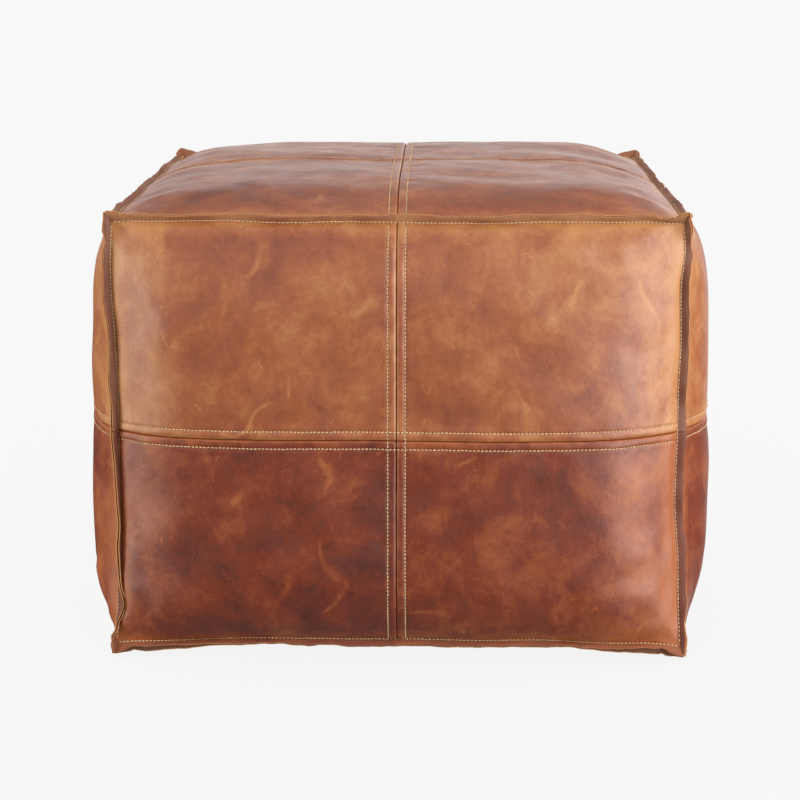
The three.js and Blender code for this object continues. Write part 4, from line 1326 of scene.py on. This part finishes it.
scene = bpy.context.scene
NYLON, WOVEN, BRASS = coil_material(), tape_material(), brass_material()
for side, name in ((-1, "left"), (1, "right")):
    chain, strip = coil(side, name), tape(name)
    chain.data.materials.append(NYLON)
    strip.data.materials.append(WOVEN)
    belongs(chain, "cover", "zip_coil_" + name)
    belongs(strip, "cover", "zip_tape_" + name)
    rounded("zip_top_stop_" + name, "cover")
for node, body in (("zip_bottom_stop", "cover"), ("zip_slider", "slider"), ("zip_pull", "pull")):
    rounded(node, body)

# ---------------------------------------------------------------- stage, light and camera
scene.view_settings.view_transform = "Standard"

WHITE = (1, 1, 1, 1)
FLOOR_SIZE = 120.0  # metres from the middle to each side
FLOOR_GLOW, BACKDROP = 0.882, 0.939  # what the eye sees of the floor and the studio behind it
WORLD_ABOVE, WORLD_BELOW, WORLD_UNDER, WORLD_BEHIND = 0.57, 0.06, 0.2, 1.45
BRIGHTEST = (0.2, 0.98, 0.0)  # the way to the brightest wall, behind the object and to its right


def add_floor():
    """A floor seen from above only, whose own glow gives it its even tone."""
    mesh = bpy.data.meshes.new("studio_floor")
    corners = [(x * FLOOR_SIZE, y * FLOOR_SIZE, 0) for x, y in ((-1, -1), (1, -1), (1, 1), (-1, 1))]
    mesh.from_pydata(corners, [], [[0, 1, 2, 3]])
    floor = bpy.data.objects.new("studio_floor", mesh)
    scene.collection.objects.link(floor)
    n = Material("studio_floor")
    n.finish(rgb(90, 90, 90), 1.0, specular=0.0)
    n.surface.inputs["Emission Color"].default_value = WHITE
    n.surface.inputs["Emission Strength"].default_value = FLOOR_GLOW
    from_below = n.add("NewGeometry").outputs["Backfacing"]
    n.mix_shaders(from_below, n.surface, n.add("BsdfTransparent"), "Material Output")
    mesh.materials.append(n.material)
    floor.visible_diffuse = False
    floor.visible_glossy = False
    floor.visible_shadow = False
    return floor


def add_softbox(name, place, aim, width, height, power, colour=(1, 1, 1)):
    """A soft area light on the object alone; the floor is lit by the studio around it."""
    light = bpy.data.lights.new(name, "AREA")
    light.shape = "RECTANGLE"
    light.size, light.size_y = width, height
    light.energy = power
    light.color = colour
    lamp = bpy.data.objects.new(name, light)
    lamp.location = place
    lamp.rotation_euler = (Vector(aim) - Vector(place)).to_track_quat("-Z", "Y").to_euler()
    lamp.visible_camera = False
    scene.collection.objects.link(lamp)
    lamp.light_linking.receiver_collection = unlit


def add_world():
    """White studio walls, brightest behind the object, with a dimmer glow from below."""
    world = bpy.data.worlds.new("studio")
    scene.world = world
    world.use_nodes = True
    n = Nodes(world.node_tree)
    way = n.add("TexCoord").outputs["Generated"]
    height = n.split(way)[2]
    turned = n.add("VectorMath", operation="DOT_PRODUCT")
    n.plug(way, turned.inputs[0])
    turned.inputs[1].default_value = BRIGHTEST
    behind = n.mapped(turned.outputs["Value"], 0.78, 1.0, 0.0, WORLD_BEHIND)
    low_down = n.mapped(height, 0.06, 0.42, 1.0, 0.0)
    above = n.mapped(height, -0.12, 0.06, WORLD_BELOW, WORLD_ABOVE)
    deep = n.mapped(height, -0.75, -0.3, WORLD_UNDER, 0.0)
    glow = n.plus(n.math("MULTIPLY_ADD", behind, low_down, above), deep)
    walls, backdrop = n.tree.nodes["Background"], n.add("Background")
    for background, strength in ((walls, glow), (backdrop, BACKDROP)):
        background.inputs[0].default_value = WHITE
        n.plug(strength, background.inputs[1])
    seen = n.add("LightPath").outputs["Is Camera Ray"]
    n.mix_shaders(seen, walls, backdrop, "World Output")


floor = add_floor()
unlit = bpy.data.collections.new("lit_by_the_studio_only")
unlit.objects.link(floor)
unlit.collection_objects[0].light_linking.link_state = "EXCLUDE"
add_world()
add_softbox("left_softbox", (-1.8, -0.8, 0.5), (0, 0, 0.25), 0.9, 2.4, 28, (1.0, 0.92, 0.83))
add_softbox("right_softbox", (1.6, -1.25, 0.6), (0, 0, 0.25), 1.5, 2.6, 54)

camera_data = bpy.data.cameras.new("camera")
camera_data.lens = 90.45
camera_data.sensor_width = 36
camera = bpy.data.objects.new("camera", camera_data)
camera.location = (0.0402, -2.0537, 0.672)
camera.rotation_euler = (math.pi / 2 - 0.2305, 0, 0.021)
scene.collection.objects.link(camera)
scene.camera = camera
